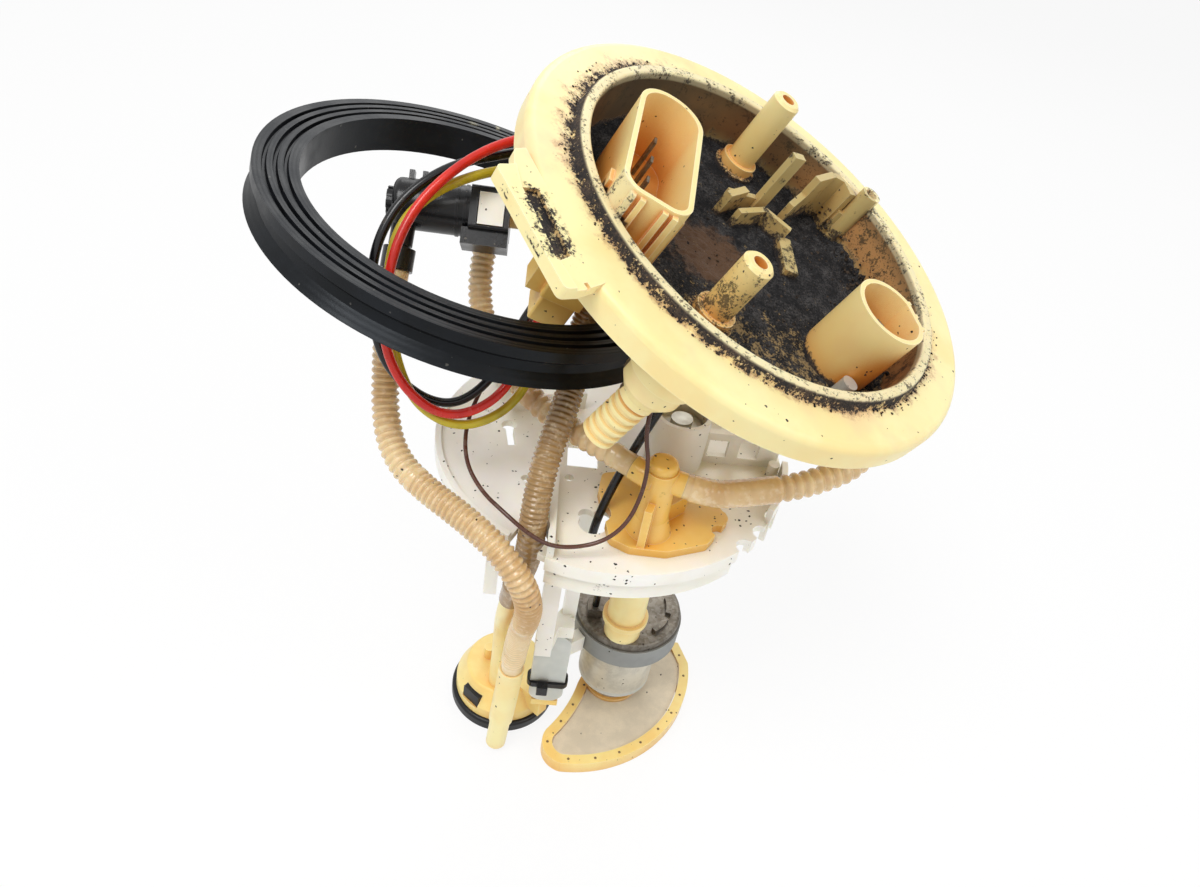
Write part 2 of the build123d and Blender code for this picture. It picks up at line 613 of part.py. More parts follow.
def tee():
    """Amber T piece: a foot plate, a stem with a capped top, two hose branches and a front rib."""
    body = Pos(0, 0, PLATE_TOP) * extrude(tee_base_plan(), TEE_BASE)
    body += tapered(TEE_RADIUS + 2.6, TEE_RADIUS, PLATE_TOP + 1, PLATE_TOP + 9, TEE_AT)
    body += upright(TEE_RADIUS, PLATE_TOP + 1, TEE_TOP - 3, TEE_AT)
    for end, run in ((TEE_LEFT, TEE_LEFT_RUN), (TEE_RIGHT, TEE_RIGHT_RUN)):
        inward = (Vector(*end) - Vector(*run)).normalized()
        body += rod(end, Vector(*end) + inward * 8.0, TEE_BRANCH)
    body += wall_between(TEE_AT, (7.6, -52.0), 2.4, PLATE_TOP + 1, TEE_AXIS_Z - 6)
    body += wall_between(TEE_AT, (22.0, -33.0), 2.4, PLATE_TOP + 1, PLATE_TOP + 10)
    return body


def tee_cap():
    """Plug that closes the T piece's top."""
    cap = upright(4.6, TEE_TOP - 3, TEE_TOP, TEE_AT)
    return fillet(cap.edges().group_by(Axis.Z)[-1], 1.6)


# ---------------------------------------------------------------- pump

TERMINAL_AT = (17.0, 8.0)
LEAD_TERMINAL = (4.6, -9.0)
TERMINAL_TOP = CAP_TOP + 4.0


def pump_cap():
    """Pump cover plate with an outlet collar, a terminal block and two curved rails."""
    body = upright(CAP_RADIUS, CAP_TOP - CAP_HEIGHT, CAP_TOP, PUMP_AT)
    body = fillet(body.edges().group_by(Axis.Z)[-1], 1.2)
    for start in (-55, -15):
        rail = Pos(*PUMP_AT, 0) * arc_wall(CAP_RADIUS - 4, 2.2, CAP_TOP - 1, CAP_TOP + 1.6, start, 30)
        body += rail
    body += block((10.0, 6.0), CAP_TOP - 1, TERMINAL_TOP, TERMINAL_AT)
    body += block((6.0, 6.0), CAP_TOP - 1, TERMINAL_TOP, LEAD_TERMINAL)
    return body


def pump_band():
    """Rubber-like holder ring between the cap and the case, with a hanger pad."""
    high = CAP_TOP - CAP_HEIGHT
    band = upright(BAND_RADIUS, high - BAND_HEIGHT, high, PUMP_AT)
    band = fillet(band.edges().group_by(Axis.Z)[0], 1.0)
    return band - upright(CASE_RADIUS + 0.1, high - BAND_HEIGHT - 1, high + 1, PUMP_AT)


HANGER_AT = (-6.6, -20.5)
CASE_TOP = CAP_TOP - CAP_HEIGHT


def pump_case():
    """Hollow steel case, open at both ends, that holds the magnets."""
    case = upright(CASE_RADIUS, CASE_BOTTOM, CASE_TOP, PUMP_AT)
    return case - upright(CASE_RADIUS - CASE_WALL, CASE_BOTTOM - 1, CASE_TOP + 1, PUMP_AT)


MAGNET_OUTER = CASE_RADIUS - CASE_WALL - 0.1
ARMATURE_RADIUS = MAGNET_OUTER - MAGNET_THICKNESS - AIR_GAP
ARMATURE_SLOT = (4.5, 1.4)
END_PLATE = 3.0
MAGNET_LOW = CASE_BOTTOM + 9.0
MAGNET_HIGH = CASE_TOP - 9.0


def magnet(side):
    """One of two curved magnets inside the case."""
    shell = arc_wall(MAGNET_OUTER, MAGNET_THICKNESS, MAGNET_LOW, MAGNET_HIGH, 15 + 180 * side, 150)
    return Pos(*PUMP_AT, 0) * shell


def pump_top_plate():
    """Inner end plate under the cap: upper bushing seat and brush guides."""
    plate_disc = upright(MAGNET_OUTER, CASE_TOP - END_PLATE, CASE_TOP, PUMP_AT)
    return plate_disc - upright(SHAFT_RADIUS + RUNNING, CASE_TOP - END_PLATE - 1, CASE_TOP + 1, PUMP_AT)


IMPELLER_LOW = CASE_BOTTOM + 3.0


def pump_bottom_plate():
    """Inner end plate over the impeller, with the lower bearing hole."""
    low = IMPELLER_LOW + IMPELLER_HEIGHT + AIR_GAP
    disc = upright(MAGNET_OUTER, low, low + 2.5, PUMP_AT)
    disc -= upright(SHAFT_RADIUS + RUNNING, low - 1, low + 4, PUMP_AT)
    return disc - upright(2.0, low - 1, low + 4, (PUMP_AT[0] + 9.5, PUMP_AT[1]))


def inlet_cover():
    """Pump inlet: a disc in the case's lower end and a neck down to the strainer."""
    body = upright(MAGNET_OUTER, CASE_BOTTOM, IMPELLER_LOW - AIR_GAP, PUMP_AT)
    body += upright(CASE_RADIUS, CASE_BOTTOM - 2, CASE_BOTTOM, PUMP_AT)
    body += tapered(INLET_RADIUS, CASE_RADIUS, CASE_BOTTOM - 5, CASE_BOTTOM - 2, PUMP_AT)
    body += upright(INLET_RADIUS, STRAINER_HEIGHT, CASE_BOTTOM - 5, PUMP_AT)
    return body - upright(4.0, STRAINER_HEIGHT - 1, IMPELLER_LOW + 1, (PUMP_AT[0], PUMP_AT[1]))


def rotor_shaft():
    return upright(SHAFT_RADIUS, IMPELLER_LOW, CASE_TOP - 0.5, PUMP_AT)


def armature():
    """Slotted armature on the shaft."""
    core = upright(ARMATURE_RADIUS, MAGNET_LOW, MAGNET_HIGH, PUMP_AT)
    core -= upright(SHAFT_RADIUS, MAGNET_LOW - 1, MAGNET_HIGH + 1, PUMP_AT)
    for slot in range(8):
        cut = block(ARMATURE_SLOT, MAGNET_LOW - 1, MAGNET_HIGH + 1, (ARMATURE_RADIUS - 1.5, 0))
        core -= Pos(*PUMP_AT, 0) * Rot(0, 0, slot * 45) * cut
    return core


COMMUTATOR_RADIUS = 5.0
COMMUTATOR_HEIGHT = 4.0


def commutator():
    ring = upright(COMMUTATOR_RADIUS, MAGNET_HIGH, MAGNET_HIGH + COMMUTATOR_HEIGHT, PUMP_AT)
    return ring - upright(SHAFT_RADIUS, MAGNET_HIGH - 1, MAGNET_HIGH + COMMUTATOR_HEIGHT + 1, PUMP_AT)


def impeller():
    """Thin wheel with vanes cut round its edge, under the lower bearing."""
    wheel = upright(MAGNET_OUTER - AIR_GAP, IMPELLER_LOW, IMPELLER_LOW + IMPELLER_HEIGHT, PUMP_AT)
    wheel -= upright(SHAFT_RADIUS, IMPELLER_LOW - 1, IMPELLER_LOW + 3, PUMP_AT)
    for vane in range(20):
        cut = block((2.6, 1.1), IMPELLER_LOW - 1, IMPELLER_LOW + 3, (MAGNET_OUTER - 2.2, 0))
        wheel -= Pos(*PUMP_AT, 0) * Rot(0, 0, vane * 18) * cut
    return wheel


def brush(side):
    """Carbon brush that rests on the commutator."""
    reach = COMMUTATOR_RADIUS + SEAT
    sign = 1 if side else -1
    at = (PUMP_AT[0] + sign * (reach + 2.5), PUMP_AT[1])
    return block((5.0, 3.0), MAGNET_HIGH + 0.8, CASE_TOP - END_PLATE, at)


def outlet_pipe():
    """Cream outlet pipe from the pump cap up to the plate, bored for the check valve."""
    pipe = upright(OUTLET_RADIUS, CAP_TOP, PLATE_TOP - PLATE_THICKNESS, OUTLET_AT)
    pipe += upright(OUTLET_RADIUS + 1.6, CAP_TOP + 8, CAP_TOP + 10, OUTLET_AT)
    bore = upright(OUTLET_BORE, CAP_TOP + 12, PLATE_TOP, OUTLET_AT)
    inlet = upright(OUTLET_BORE - 1.6, CAP_TOP - 1, CAP_TOP + 13, OUTLET_AT)
    stop = upright(OUTLET_BORE, CAP_TOP + 30, CAP_TOP + 31.5, OUTLET_AT) - upright(
        OUTLET_BORE - 1.8, CAP_TOP + 29, CAP_TOP + 32, OUTLET_AT)
    return pipe - bore - inlet + stop


VALVE_LOW = CAP_TOP + 12.0
VALVE_HEIGHT = 4.0
SPRING_HIGH = CAP_TOP + 30.0


def check_valve():
    """Poppet that closes the outlet and lifts against its spring."""
    poppet = upright(OUTLET_BORE - 0.25, VALVE_LOW, VALVE_LOW + VALVE_HEIGHT, OUTLET_AT)
    return poppet + upright(1.4, VALVE_LOW + VALVE_HEIGHT, VALVE_LOW + VALVE_HEIGHT + 5, OUTLET_AT)


def valve_spring():
    """Coil spring between the poppet and the stop in the outlet pipe."""
    wire = 0.35
    low = VALVE_LOW + VALVE_HEIGHT + wire
    height = SPRING_HIGH - low - wire
    path = Helix(pitch=height / 5, height=height, radius=2.6)
    section = Plane(origin=path @ 0, z_dir=path % 0) * Circle(wire)
    coil = sweep(section, path=path)
    return Pos(OUTLET_AT[0], OUTLET_AT[1], low) * coil


# ---------------------------------------------------------------- frame, strainer and foot

SHIELD_AT = (-11.0, -26.8)
SHIELD_SIZE = (13.5, 4.5)
SHIELD_TOP = 62.0
SHIELD_BOTTOM = 22.0
COLUMN_AT = (-15.5, -36.0)


def leg_frame():
    """White frame leg under the plate: a column, a bridge and a hanger for the pump band."""
    top = PLATE_TOP - PLATE_THICKNESS
    bridge_high = SHIELD_TOP + 6
    body = block((6.0, 5.0), SHIELD_TOP, top, COLUMN_AT)
    body += wall_between(COLUMN_AT, (-12.0, -25.5), 6.0, SHIELD_TOP, bridge_high)
    body += block((13.0, 5.0), SHIELD_TOP, bridge_high, SHIELD_AT)
    body += wall_between(SHIELD_AT, HANGER_AT, 5.0, SHIELD_TOP, bridge_high)
    body += block((5.0, 5.0), CAP_TOP - CAP_HEIGHT - BAND_HEIGHT, top, HANGER_AT)
    reach = wall_between(HANGER_AT, PUMP_AT, 5.0, CASE_TOP - BAND_HEIGHT, CASE_TOP - 2)
    body += reach - upright(BAND_RADIUS + SEAT, 0, CAP_TOP + 10, PUMP_AT)
    return body


def leg_shield():
    """Pale rounded leg between the frame and the foot, with a dark edging round it."""
    middle = (SHIELD_TOP + SHIELD_BOTTOM) / 2
    plan = RectangleRounded(SHIELD_SIZE[0], SHIELD_TOP - SHIELD_BOTTOM, 5.5)
    solid = extrude(Plane.XZ * plan, SHIELD_SIZE[1] / 2, both=True)
    return Pos(SHIELD_AT[0], SHIELD_AT[1], middle) * solid


# Corners of the strainer's plan, and the point that each side's arc passes through.
STRAINER_TAIL = (-2.0, -46.6)
STRAINER_BOW = (35.0, -33.6)
STRAINER_TIP = (53.8, 8.0)
STRAINER_END = (50.0, 19.0)
STRAINER_HOLLOW = (25.0, 15.5)
STRAINER_WAIST = (4.0, -8.0)
STRAINER_FLANK = (-0.5, -19.5)
STRAINER_SIDE = (-8.4, -31.5)
STRAINER_HEEL = (-9.0, -41.0)


def strainer_plan(inset=0.0):
    """Plan of the strainer: a bow about the pump's side and a tail towards the foot."""
    edge = [ThreePointArc(STRAINER_TAIL, STRAINER_BOW, STRAINER_TIP), Line(STRAINER_TIP, STRAINER_END),
            ThreePointArc(STRAINER_END, STRAINER_HOLLOW, STRAINER_WAIST),
            ThreePointArc(STRAINER_WAIST, STRAINER_FLANK, STRAINER_SIDE),
            ThreePointArc(STRAINER_SIDE, STRAINER_HEEL, STRAINER_TAIL)]
    plan = make_face(edge)
    return offset(plan, -inset) if inset else plan


def neck_plan(radius):
    return Pos(*PUMP_AT) * Circle(radius)


def strainer_frame():
    """Frame of the strainer: rim, ribs and the neck ring under the pump inlet."""
    rim = strainer_plan() - strainer_plan(STRAINER_RIM)
    body = extrude(rim, STRAINER_HEIGHT)
    body += extrude(neck_plan(INLET_RADIUS + 1.5), STRAINER_HEIGHT)
    ribs = Pos(0, 0, 1.5) * extrude(neck_ribs(), 2.0)
    body += ribs
    return body - upright(4.0, -1, STRAINER_HEIGHT + 1, PUMP_AT)


def neck_ribs():
    ribs = Pos(25.0, -3.5) * Rectangle(52.0, 2.4)
    ribs += Pos(18.7, -24.0) * Rectangle(2.4, 46.0)
    ribs += Pos(8.0, -27.0) * Rot(0, 0, 60) * Rectangle(38.0, 2.4)
    return ribs & strainer_plan(STRAINER_RIM - 1)


def mesh_panel(low):
    panel = strainer_plan(STRAINER_RIM + SEAT) - neck_plan(INLET_RADIUS + 1.5 + SEAT)
    return Pos(0, 0, low) * extrude(panel, MESH)


def foot_dome():
    """Hollow dome over the foot valve, with the riser's seat and a foot for the leg."""
    low = FOOT_RING_HEIGHT - 1.0
    body = upright(DOME_RADIUS, low, low + 6, FOOT_AT)
    body += tapered(DOME_RADIUS, DOME_TOP_RADIUS, low + 6, DOME_TOP, FOOT_AT)
    body = fillet(body.edges().group_by(Axis.Z)[-1], 1.5)
    body += block((SHIELD_SIZE[0] - 3, SHIELD_SIZE[1]), SHIELD_BOTTOM - 3, SHIELD_BOTTOM, SHIELD_AT)
    body += wall_between((-20.5, -18.5), SHIELD_AT, 5.0, SHIELD_BOTTOM - 12, SHIELD_BOTTOM - 3)
    inside = upright(DOME_RADIUS - FOOT_WALL, low - 1, low + 6, FOOT_AT)
    inside += tapered(DOME_RADIUS - FOOT_WALL, DOME_TOP_RADIUS - FOOT_WALL, low + 6, DOME_TOP - FOOT_WALL, FOOT_AT)
    body -= inside
    window = Pos(*FOOT_AT, 0) * Rot(0, 0, WINDOW_TURN) * block((8, 9.0), 8.0, 14.5, (DOME_RADIUS - 2, 0))
    post = upright(2.2, DOME_TOP - 0.5, DOME_TOP + 6, (FOOT_AT[0] - 7.3, FOOT_AT[1] + 2))
    return body - window + post


WINDOW_TURN = 228


def window_plug():
    """Dark plug in the dome's side window."""
    plug = block((3.2, 9.0 - SEAT), 8.0 + SEAT / 2, 14.5 - SEAT / 2, (DOME_RADIUS - 2.4, 0))
    return Pos(*FOOT_AT, 0) * Rot(0, 0, WINDOW_TURN) * plug


def foot_ring():
    """Rubber ring that the foot stands on, holding the dome's edge in a step."""
    ring = upright(FOOT_RADIUS, 0, FOOT_RING_HEIGHT, FOOT_AT)
    ring = fillet(ring.edges().group_by(Axis.Z)[-1], 1.4)
    ring -= upright(DOME_RADIUS, FOOT_RING_HEIGHT - 1, FOOT_RING_HEIGHT + 1, FOOT_AT)
    return ring - upright(DOME_RADIUS - 4.5, -1, FOOT_RING_HEIGHT + 1, FOOT_AT)


def foot_grid():
    """Floor of the foot, with inlet holes under the flap."""
    low = 1.2
    disc = upright(DOME_RADIUS - 4.5, low, FOOT_RING_HEIGHT - 1.0, FOOT_AT)
    for hole in range(6):
        disc -= Pos(*FOOT_AT, 0) * Rot(0, 0, hole * 60) * upright(2.0, 0, 6, (5.5, 0))
    return disc


def foot_flap():
    """Rubber disc over the inlet holes, which lifts as fuel comes in."""
    low = FOOT_RING_HEIGHT - 1.0
    return upright(FLAP_RADIUS, low, low + 1.2, FOOT_AT)


RISER_ROUTE = [(-29.3, -38.5, 92.0), (-30.11, -36.02, 83.0), (-30.6, -28.6, 69.0), (-30.6, -20.5, 55.0),
               (-30.5, -18.4, 38.0), (-30.5, -18.4, DOME_TOP)]
NOZZLE_ROUTE = [(-25.9, -39.0, 55.0), (-26.15, -37.7, 47.0), (-28.5, -36.6, 3.0)]


def riser_tube():
    return bent_rod(RISER_ROUTE, 7.0)


def nozzle_tube():
    """Nozzle on the end of the long hose, stepped down to an open tip."""
    start, bend, tip = (Vector(*point) for point in NOZZLE_ROUTE)
    step = bend + (tip - bend) * 0.62
    body = bent_rod([start, bend, step], 9.4)
    body += rod(step, tip, 4.0)
    return body - rod(bend + (tip - bend) * 0.7, tip + (tip - bend) * 0.02, 2.35)


def cable_tie():
    """Tie round the leg, with its head on one side."""
    width, depth = SHIELD_SIZE
    plan = RectangleRounded(width + 2.6, depth + 2.6, 2.5) - RectangleRounded(width + 0.3, depth + 0.3, 0.4)
    band = Pos(SHIELD_AT[0], SHIELD_AT[1], 32.0) * extrude(plan, 2.4)
    head = Pos(SHIELD_AT[0] - 2.0, SHIELD_AT[1] - depth / 2 - 2.6, 33.2) * Box(4.2, 3.6, 4.4)
    return band + head


# ---------------------------------------------------------------- hoses and wires

def cover_end(base, height, step):
    """First two points of a cord that leaves the cover along its normal."""
    return [cover_point(*base, height), cover_point(*base, height - step)]


def elbow_end(base, end, step):
    """First two points of a cord that goes on from an elbow's outlet."""
    corner = cover_point(*base, UNDERSIDE - ELBOW_DROP)
    direction = (Vector(*end) - corner).normalized()
    return [Vector(*end), Vector(*end) + direction * step]


def cords():
    jet = [barb_point(BARB_LENGTH), barb_point(BARB_LENGTH + 8), (-75.8, -9.6, 172), (-76, -11.5, 161.5),
           (-75.3, -17, 152.5), (-72.5, -26, 146.5), (-67, -34, 142.5), (-58, -41.5, 140.5),
           (-46.5, -49.5, 139), (-36, -58, 137), (-27.5, -63.5, 129.5), (-23.7, -62.5, 117.5),
           (-23.6, -55.5, 102), (-24.6, -47.5, 87), (-25.4, -41.6, 71), NOZZLE_ROUTE[0]]
    back = cover_end(RETURN_STUB, UNDERSIDE - RETURN_STUB_LENGTH, 8)
    back += [(-16.4, -9.8, 188), (-17.6, -13.4, 179.4), (-18.4, -22.4, 171.8), (-20.6, -31, 165.8),
             (-23.1, -37.6, 158.4), (-24.7, -42.6, 150), (-25.4, -46.9, 140.5), (-25.3, -48.2, 130.5),
             (-26, -46.8, 119), (-28, -42.5, 106.5), RISER_ROUTE[0]]
    supply = elbow_end(SUPPLY_ELBOW, SUPPLY_ELBOW_END, 8.5)
    supply += [(-37.5, 28.4, 206), (-45.5, 27.8, 199.8), (-50, 25, 191.5), (-51, 19.5, 182), (-49.5, 12, 173),
               (-44, 2.5, 166), (-34.5, -10, 161.4), (-24.5, -19.4, 158.4), (-15.1, -27, 157.8),
               TEE_LEFT_RUN, TEE_LEFT]
    feed = [TEE_RIGHT, TEE_RIGHT_RUN, (33, -46.6, 157), (42, -45.6, 158.6), (52.3, -43.2, 159.8),
            (61.6, -39.5, 161.5), (69.2, -35.6, 163.4), (74.2, -30, 165.5), (76, -23.5, 167.6),
            (75, -17, 169.9)]
    feed += elbow_end(FEED_ELBOW, FEED_ELBOW_END, 8)[::-1]
    red = cover_end(PLUG_AT, PLUG_BOTTOM, 6)
    red += [(-33.4, -16.6, 178.8), (-36.2, -23.4, 173.2), (-40, -28.4, 169.2), (-45.6, -31.7, 166),
            (-52.1, -34, 164.6), (-59.2, -34.5, 166.3), (-66.5, -33, 171.7), (-71.4, -30, 178.6),
            (-73.6, -27, 185.8), (-73.9, -23, 194.2), (-73, -18.5, 203.4), (-71.1, -13.4, 210.4),
            (-67.2, -7.8, 217.4), (-60.8, -1.4, 223.4), (-53.6, 5, 227.8), (-45.6, 11.6, 230.4),
            (-36, 15.8, 232.4), (-27.6, 20.6, 231.6), (-18.8, 29.8, 225.4), (-9.2, 35.8, 213.6),
            (-2.8, 35.4, 197.4), (-1, 34.4, 181), (4.4, 34.9, 166), (8, 36.8, 151), (9.8, 39.2, 137),
            (10.6, 36.4, 122), (11.4, 29, 104), (12.8, 19, 86), (14.4, TERMINAL_AT[1], TERMINAL_TOP + 10.5),
            (14.4, TERMINAL_AT[1], TERMINAL_TOP)]
    black = cover_end((PLUG_AT[0] - 3.7, PLUG_AT[1]), PLUG_BOTTOM, 6)
    black += [(-38, -15.2, 179.6), (-41.4, -19.8, 172.2), (-46.6, -23.8, 166.4), (-52.9, -26.6, 163.3),
              (-60.2, -27.5, 164.1), (-67.6, -26.5, 168.2), (-73.5, -24.5, 173.5), (-76.8, -22.3, 181.4),
              (-78.6, -19, 191.2), (-78.9, -14.5, 200.9), (-77.1, -10, 208.5), (-72.9, -4.4, 215.6),
              (-65.4, 1.9, 221.4), (-56.4, 8.2, 224.6), (-46, 13.4, 226), (-36.4, 18.2, 227.2),
              (-28.8, 22.8, 226.4), (-21, 31, 221.6), (-11.6, 38.4, 211.4),
              (-4.4, 39.6, 196.4), (-1.4, 39, 180.5), (5.6, 39.2, 166), (11.6, 39, 152), (13.6, 37.8, 137),
              (14.2, 35, 122), (15.2, 28, 104), (17.4, 18.4, 86), (19.6, TERMINAL_AT[1], TERMINAL_TOP + 10.5),
              (19.6, TERMINAL_AT[1], TERMINAL_TOP)]
    yellow = cover_end((PLUG_AT[0] + 3.7, PLUG_AT[1]), PLUG_BOTTOM, 6)
    yellow += [(-29.4, -15.6, 177), (-31.8, -22.2, 170.6), (-36, -27.4, 165.6), (-42.1, -31, 162.1),
               (-49, -33, 160.4), (-56.1, -33.6, 161.7), (-63.8, -31.5, 166.1), (-68.9, -27.5, 173.7),
               (-71.7, -23.5, 182.2), (-73.6, -19, 191.9), (-74.3, -14.8, 201), (-72.9, -10.4, 208.6),
               (-69.2, -5.9, 214.4), (-62.2, -0.6, 219.2), (-53.3, 4.3, 222.4), (-44, 9.3, 223.6),
               (-34.6, 15.4, 223.4), (-27, 24, 221), (-21.8, 34.6, 214.6), (-16.4, 42.6, 204),
               (-9.8, 44.4, 191), (-4, 44.6, 178), (1.4, 45, 168), (8.4, 43.4, 161.4),
               (15.6, 39, 158.6), (*LEVEL_PLUG_AT, LEVEL_PLUG_TOP + 7),
               (*LEVEL_PLUG_AT, LEVEL_PLUG_TOP)]
    brown = cover_end((PLUG_AT[0], PLUG_AT[1] + 4), PLUG_BOTTOM, 6)
    brown += [(-35.4, -8.2, 179.4), (-40.6, -11.6, 172.2), (-45.4, -17.6, 164.6), (-49, -27, 156.8),
              (-47.8, -38, 151.4), (-42, -46.9, 148), (-34.4, -54.2, 147), (-27, -58.2, 143.5),
              (-20, -58.4, 139.4), (-12.3, -56.6, 138), (-4, -55.4, 140.6), (2, -53.4, 147),
              (4.9, -50, 156), (5.2, -48, 166), (2.9, -46.6, 174.5), (2.8, -44.4, 182.2),
              (5, -41, 190)]
    brown += cover_end((-14, -37), UNDERSIDE, 7)[::-1]
    lead = cover_end((4, -12), UNDERSIDE, 12)
    lead += [(16.2, -16.4, 178.6), (9.8, -22, 167), (3, -28.6, 154.2), (-3, -35.8, 141.4), (-6.2, -39.2, 128),
             (-5.2, -36.4, 112), (-1, -25, 92), (3.6, -12.8, 78), (*LEAD_TERMINAL, TERMINAL_TOP + 9),
             (*LEAD_TERMINAL, TERMINAL_TOP)]
    return {"hose_jet": (HOSE, jet), "hose_return": (HOSE, back), "hose_supply": (PIPE, supply),
            "hose_feed": (FEED_HOSE, feed), "wire_red": (WIRE, red), "wire_yellow": (WIRE, yellow),
            "wire_black": (WIRE, black), "wire_brown": (THIN_WIRE, brown), "wire_lead": (WIRE, lead)}


def build_all():
    feed, supply, quick, stub = cover_pipes()
    pieces = {
        "cover": cover(),
        "feed_elbow": feed,
        "supply_elbow": supply,
        "quick_pipe": quick,
        "return_stub": stub,
        "vent_stub": vent_stub(),
        "main_pins": main_pins(),
        "small_pins": small_pins(),
        "inner_plug": inner_plug(),
        "ground_peg": peg(),
        "seal_ring": seal_ring(),
        "connector_body": connector_body(),
        "connector_cap": connector_cap(),
        "connector_retainer": connector_retainer(),
        "barb_sleeve": barb_sleeve(),
        "plate": plate(),
        "level_plug": level_plug(),
        "regulator": regulator(),
        "tee": tee(),
        "tee_cap": tee_cap(),
        "pump_cap": pump_cap(),
        "pump_band": pump_band(),
        "pump_case": pump_case(),
        "magnet_a": magnet(0),
        "magnet_b": magnet(1),
        "pump_top_plate": pump_top_plate(),
        "pump_bottom_plate": pump_bottom_plate(),
        "inlet_cover": inlet_cover(),
        "rotor_shaft": rotor_shaft(),
        "armature": armature(),
        "commutator": commutator(),
        "impeller": impeller(),
        "brush_a": brush(0),
        "brush_b": brush(1),
        "outlet_pipe": outlet_pipe(),
        "check_valve": check_valve(),
        "valve_spring": valve_spring(),
        "leg_frame": leg_frame(),
        "leg_shield": leg_shield(),
        "strainer_frame": strainer_frame(),
        "strainer_mesh": mesh_panel(STRAINER_HEIGHT - 1.6),
        "foot_dome": foot_dome(),
        "window_plug": window_plug(),
        "foot_ring": foot_ring(),
        "foot_grid": foot_grid(),
        "foot_flap": foot_flap(),
        "riser_tube": riser_tube(),
        "nozzle_tube": nozzle_tube(),
        "cable_tie": cable_tie(),
    }
    for name, (diameter, points) in cords().items():
        points = [Vector(*point) for point in points]
        pieces[name] = bent_rod(points, diameter)
        length = sum((b - a).length for a, b in zip(points, points[1:]))
        section = math.pi * diameter ** 2 / 4
        least = min(route_radii(points))
        print(name, "least radius", round(least, 1), "=", round(least / diameter, 1), "diameters,",
              "volume over section x route", round(pieces[name].volume / (section * length), 3))
    return pieces


os.makedirs("parts", exist_ok=True)
for node, solid in build_all().items():
    save(node, solid)
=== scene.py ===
"""Looks of a fuel pump module: tank cover, seal ring, ribbed hoses, wires and lower unit."""

import json
import math
import random

import bmesh
import bpy
from bpy.props import FloatProperty, FloatVectorProperty, IntProperty, PointerProperty
from mathutils import Matrix, Vector, noise


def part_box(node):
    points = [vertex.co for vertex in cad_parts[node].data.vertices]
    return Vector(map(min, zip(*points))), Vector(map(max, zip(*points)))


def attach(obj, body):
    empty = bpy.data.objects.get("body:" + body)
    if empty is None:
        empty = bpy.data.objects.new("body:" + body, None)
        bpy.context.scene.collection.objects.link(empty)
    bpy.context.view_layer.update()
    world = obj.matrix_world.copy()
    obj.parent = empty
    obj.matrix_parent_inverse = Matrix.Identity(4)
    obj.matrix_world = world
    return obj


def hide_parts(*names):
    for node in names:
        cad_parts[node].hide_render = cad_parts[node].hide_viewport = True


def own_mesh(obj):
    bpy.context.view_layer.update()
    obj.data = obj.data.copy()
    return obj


bl_info = {
    "name": "Fuel pump module",
    "version": (1, 0, 0),
    "blender": (4, 5, 0),
    "location": "3D View > Sidebar > Pump module",
    "description": "Dresses the tank cover, its hoses and wires, and the lower unit",
    "category": "Object",
}

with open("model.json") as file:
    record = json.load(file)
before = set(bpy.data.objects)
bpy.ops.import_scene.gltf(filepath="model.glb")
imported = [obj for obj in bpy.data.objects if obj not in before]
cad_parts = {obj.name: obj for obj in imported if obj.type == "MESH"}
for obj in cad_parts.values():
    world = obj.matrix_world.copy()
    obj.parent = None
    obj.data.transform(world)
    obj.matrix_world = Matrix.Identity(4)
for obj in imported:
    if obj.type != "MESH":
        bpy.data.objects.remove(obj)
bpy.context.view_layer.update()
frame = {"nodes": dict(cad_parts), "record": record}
NODES = frame["nodes"]
ROOT = "module"
MM = 0.001
PER_METRE = 1000.0
FULL_TURN = 2 * math.pi


# ------------------------------------------------------------------ places

# The cover's own frame: the middle of its rim's top face, and its three directions.
COVER_ORIGIN = Vector((0.04196, -0.01422, 0.2227))
COVER_ACROSS = Vector((0.92584, 0.09001, -0.36704))
COVER_ALONG = Vector((-0.00411, 0.97356, 0.22838))
COVER_UP = Vector((0.377889, -0.209938, 0.901735))
# The loose seal ring's middle and axis.
RING_ORIGIN = Vector((-0.03804, 0.01518, 0.2026))
RING_UP = Vector((0.23, -0.01, 0.97)).normalized()

# In the cover's frame, in millimetres: radii, heights over the rim, and places across and along.
COVER_RADIUS = 75.0
NECK_RADIUS = 62.0
RECESS_RADIUS = 57.0
FLOOR_HEIGHT = -15.0
HIGH_NIPPLE = (3.5, 48.5)
LOW_NIPPLE = (-11.0, -30.5)
WET_SPOT = (-9.0, -3.0)
LUG_POCKET = (-66.9, -41.9)
LUG_TURN = (0.883, 0.472)

CAMERA_AT = (-0.02042, -0.25297, 0.32922)
CAMERA_RIGHT = Vector((0.99001, 0.0, 0.14096))
CAMERA_UP = Vector((-0.10946, 0.6301, 0.76876))
CAMERA_LENS = 27.0
SENSOR_WIDTH = 36.0
FLOOR_RADIUS = 9.0
FLOOR_SIDES = 64
FLOOR_DROP = 0.0002
# Each lamp: name, place, what it points at, width and power.
LAMPS = (
    ("key_lamp", (-0.45, -0.55, 1.35), (0.0, 0.0, 0.12), 0.7, 11.0),
    ("fill_lamp", (0.95, -0.55, 0.85), (0.0, 0.0, 0.12), 0.8, 3.2),
    ("back_lamp", (0.1, 1.0, 0.95), (0.0, 0.0, 0.15), 0.8, 3.2),
)
WHITE = (1.0, 1.0, 1.0)


def on_cover(across, along, height):
    """Point of the cover's own frame, from millimetres to the module's frame in metres."""
    return COVER_ORIGIN + (COVER_ACROSS * across + COVER_ALONG * along + COVER_UP * height) * MM


def around(radius, angle):
    """The two coordinates of a point on a circle."""
    return radius * math.cos(angle), radius * math.sin(angle)


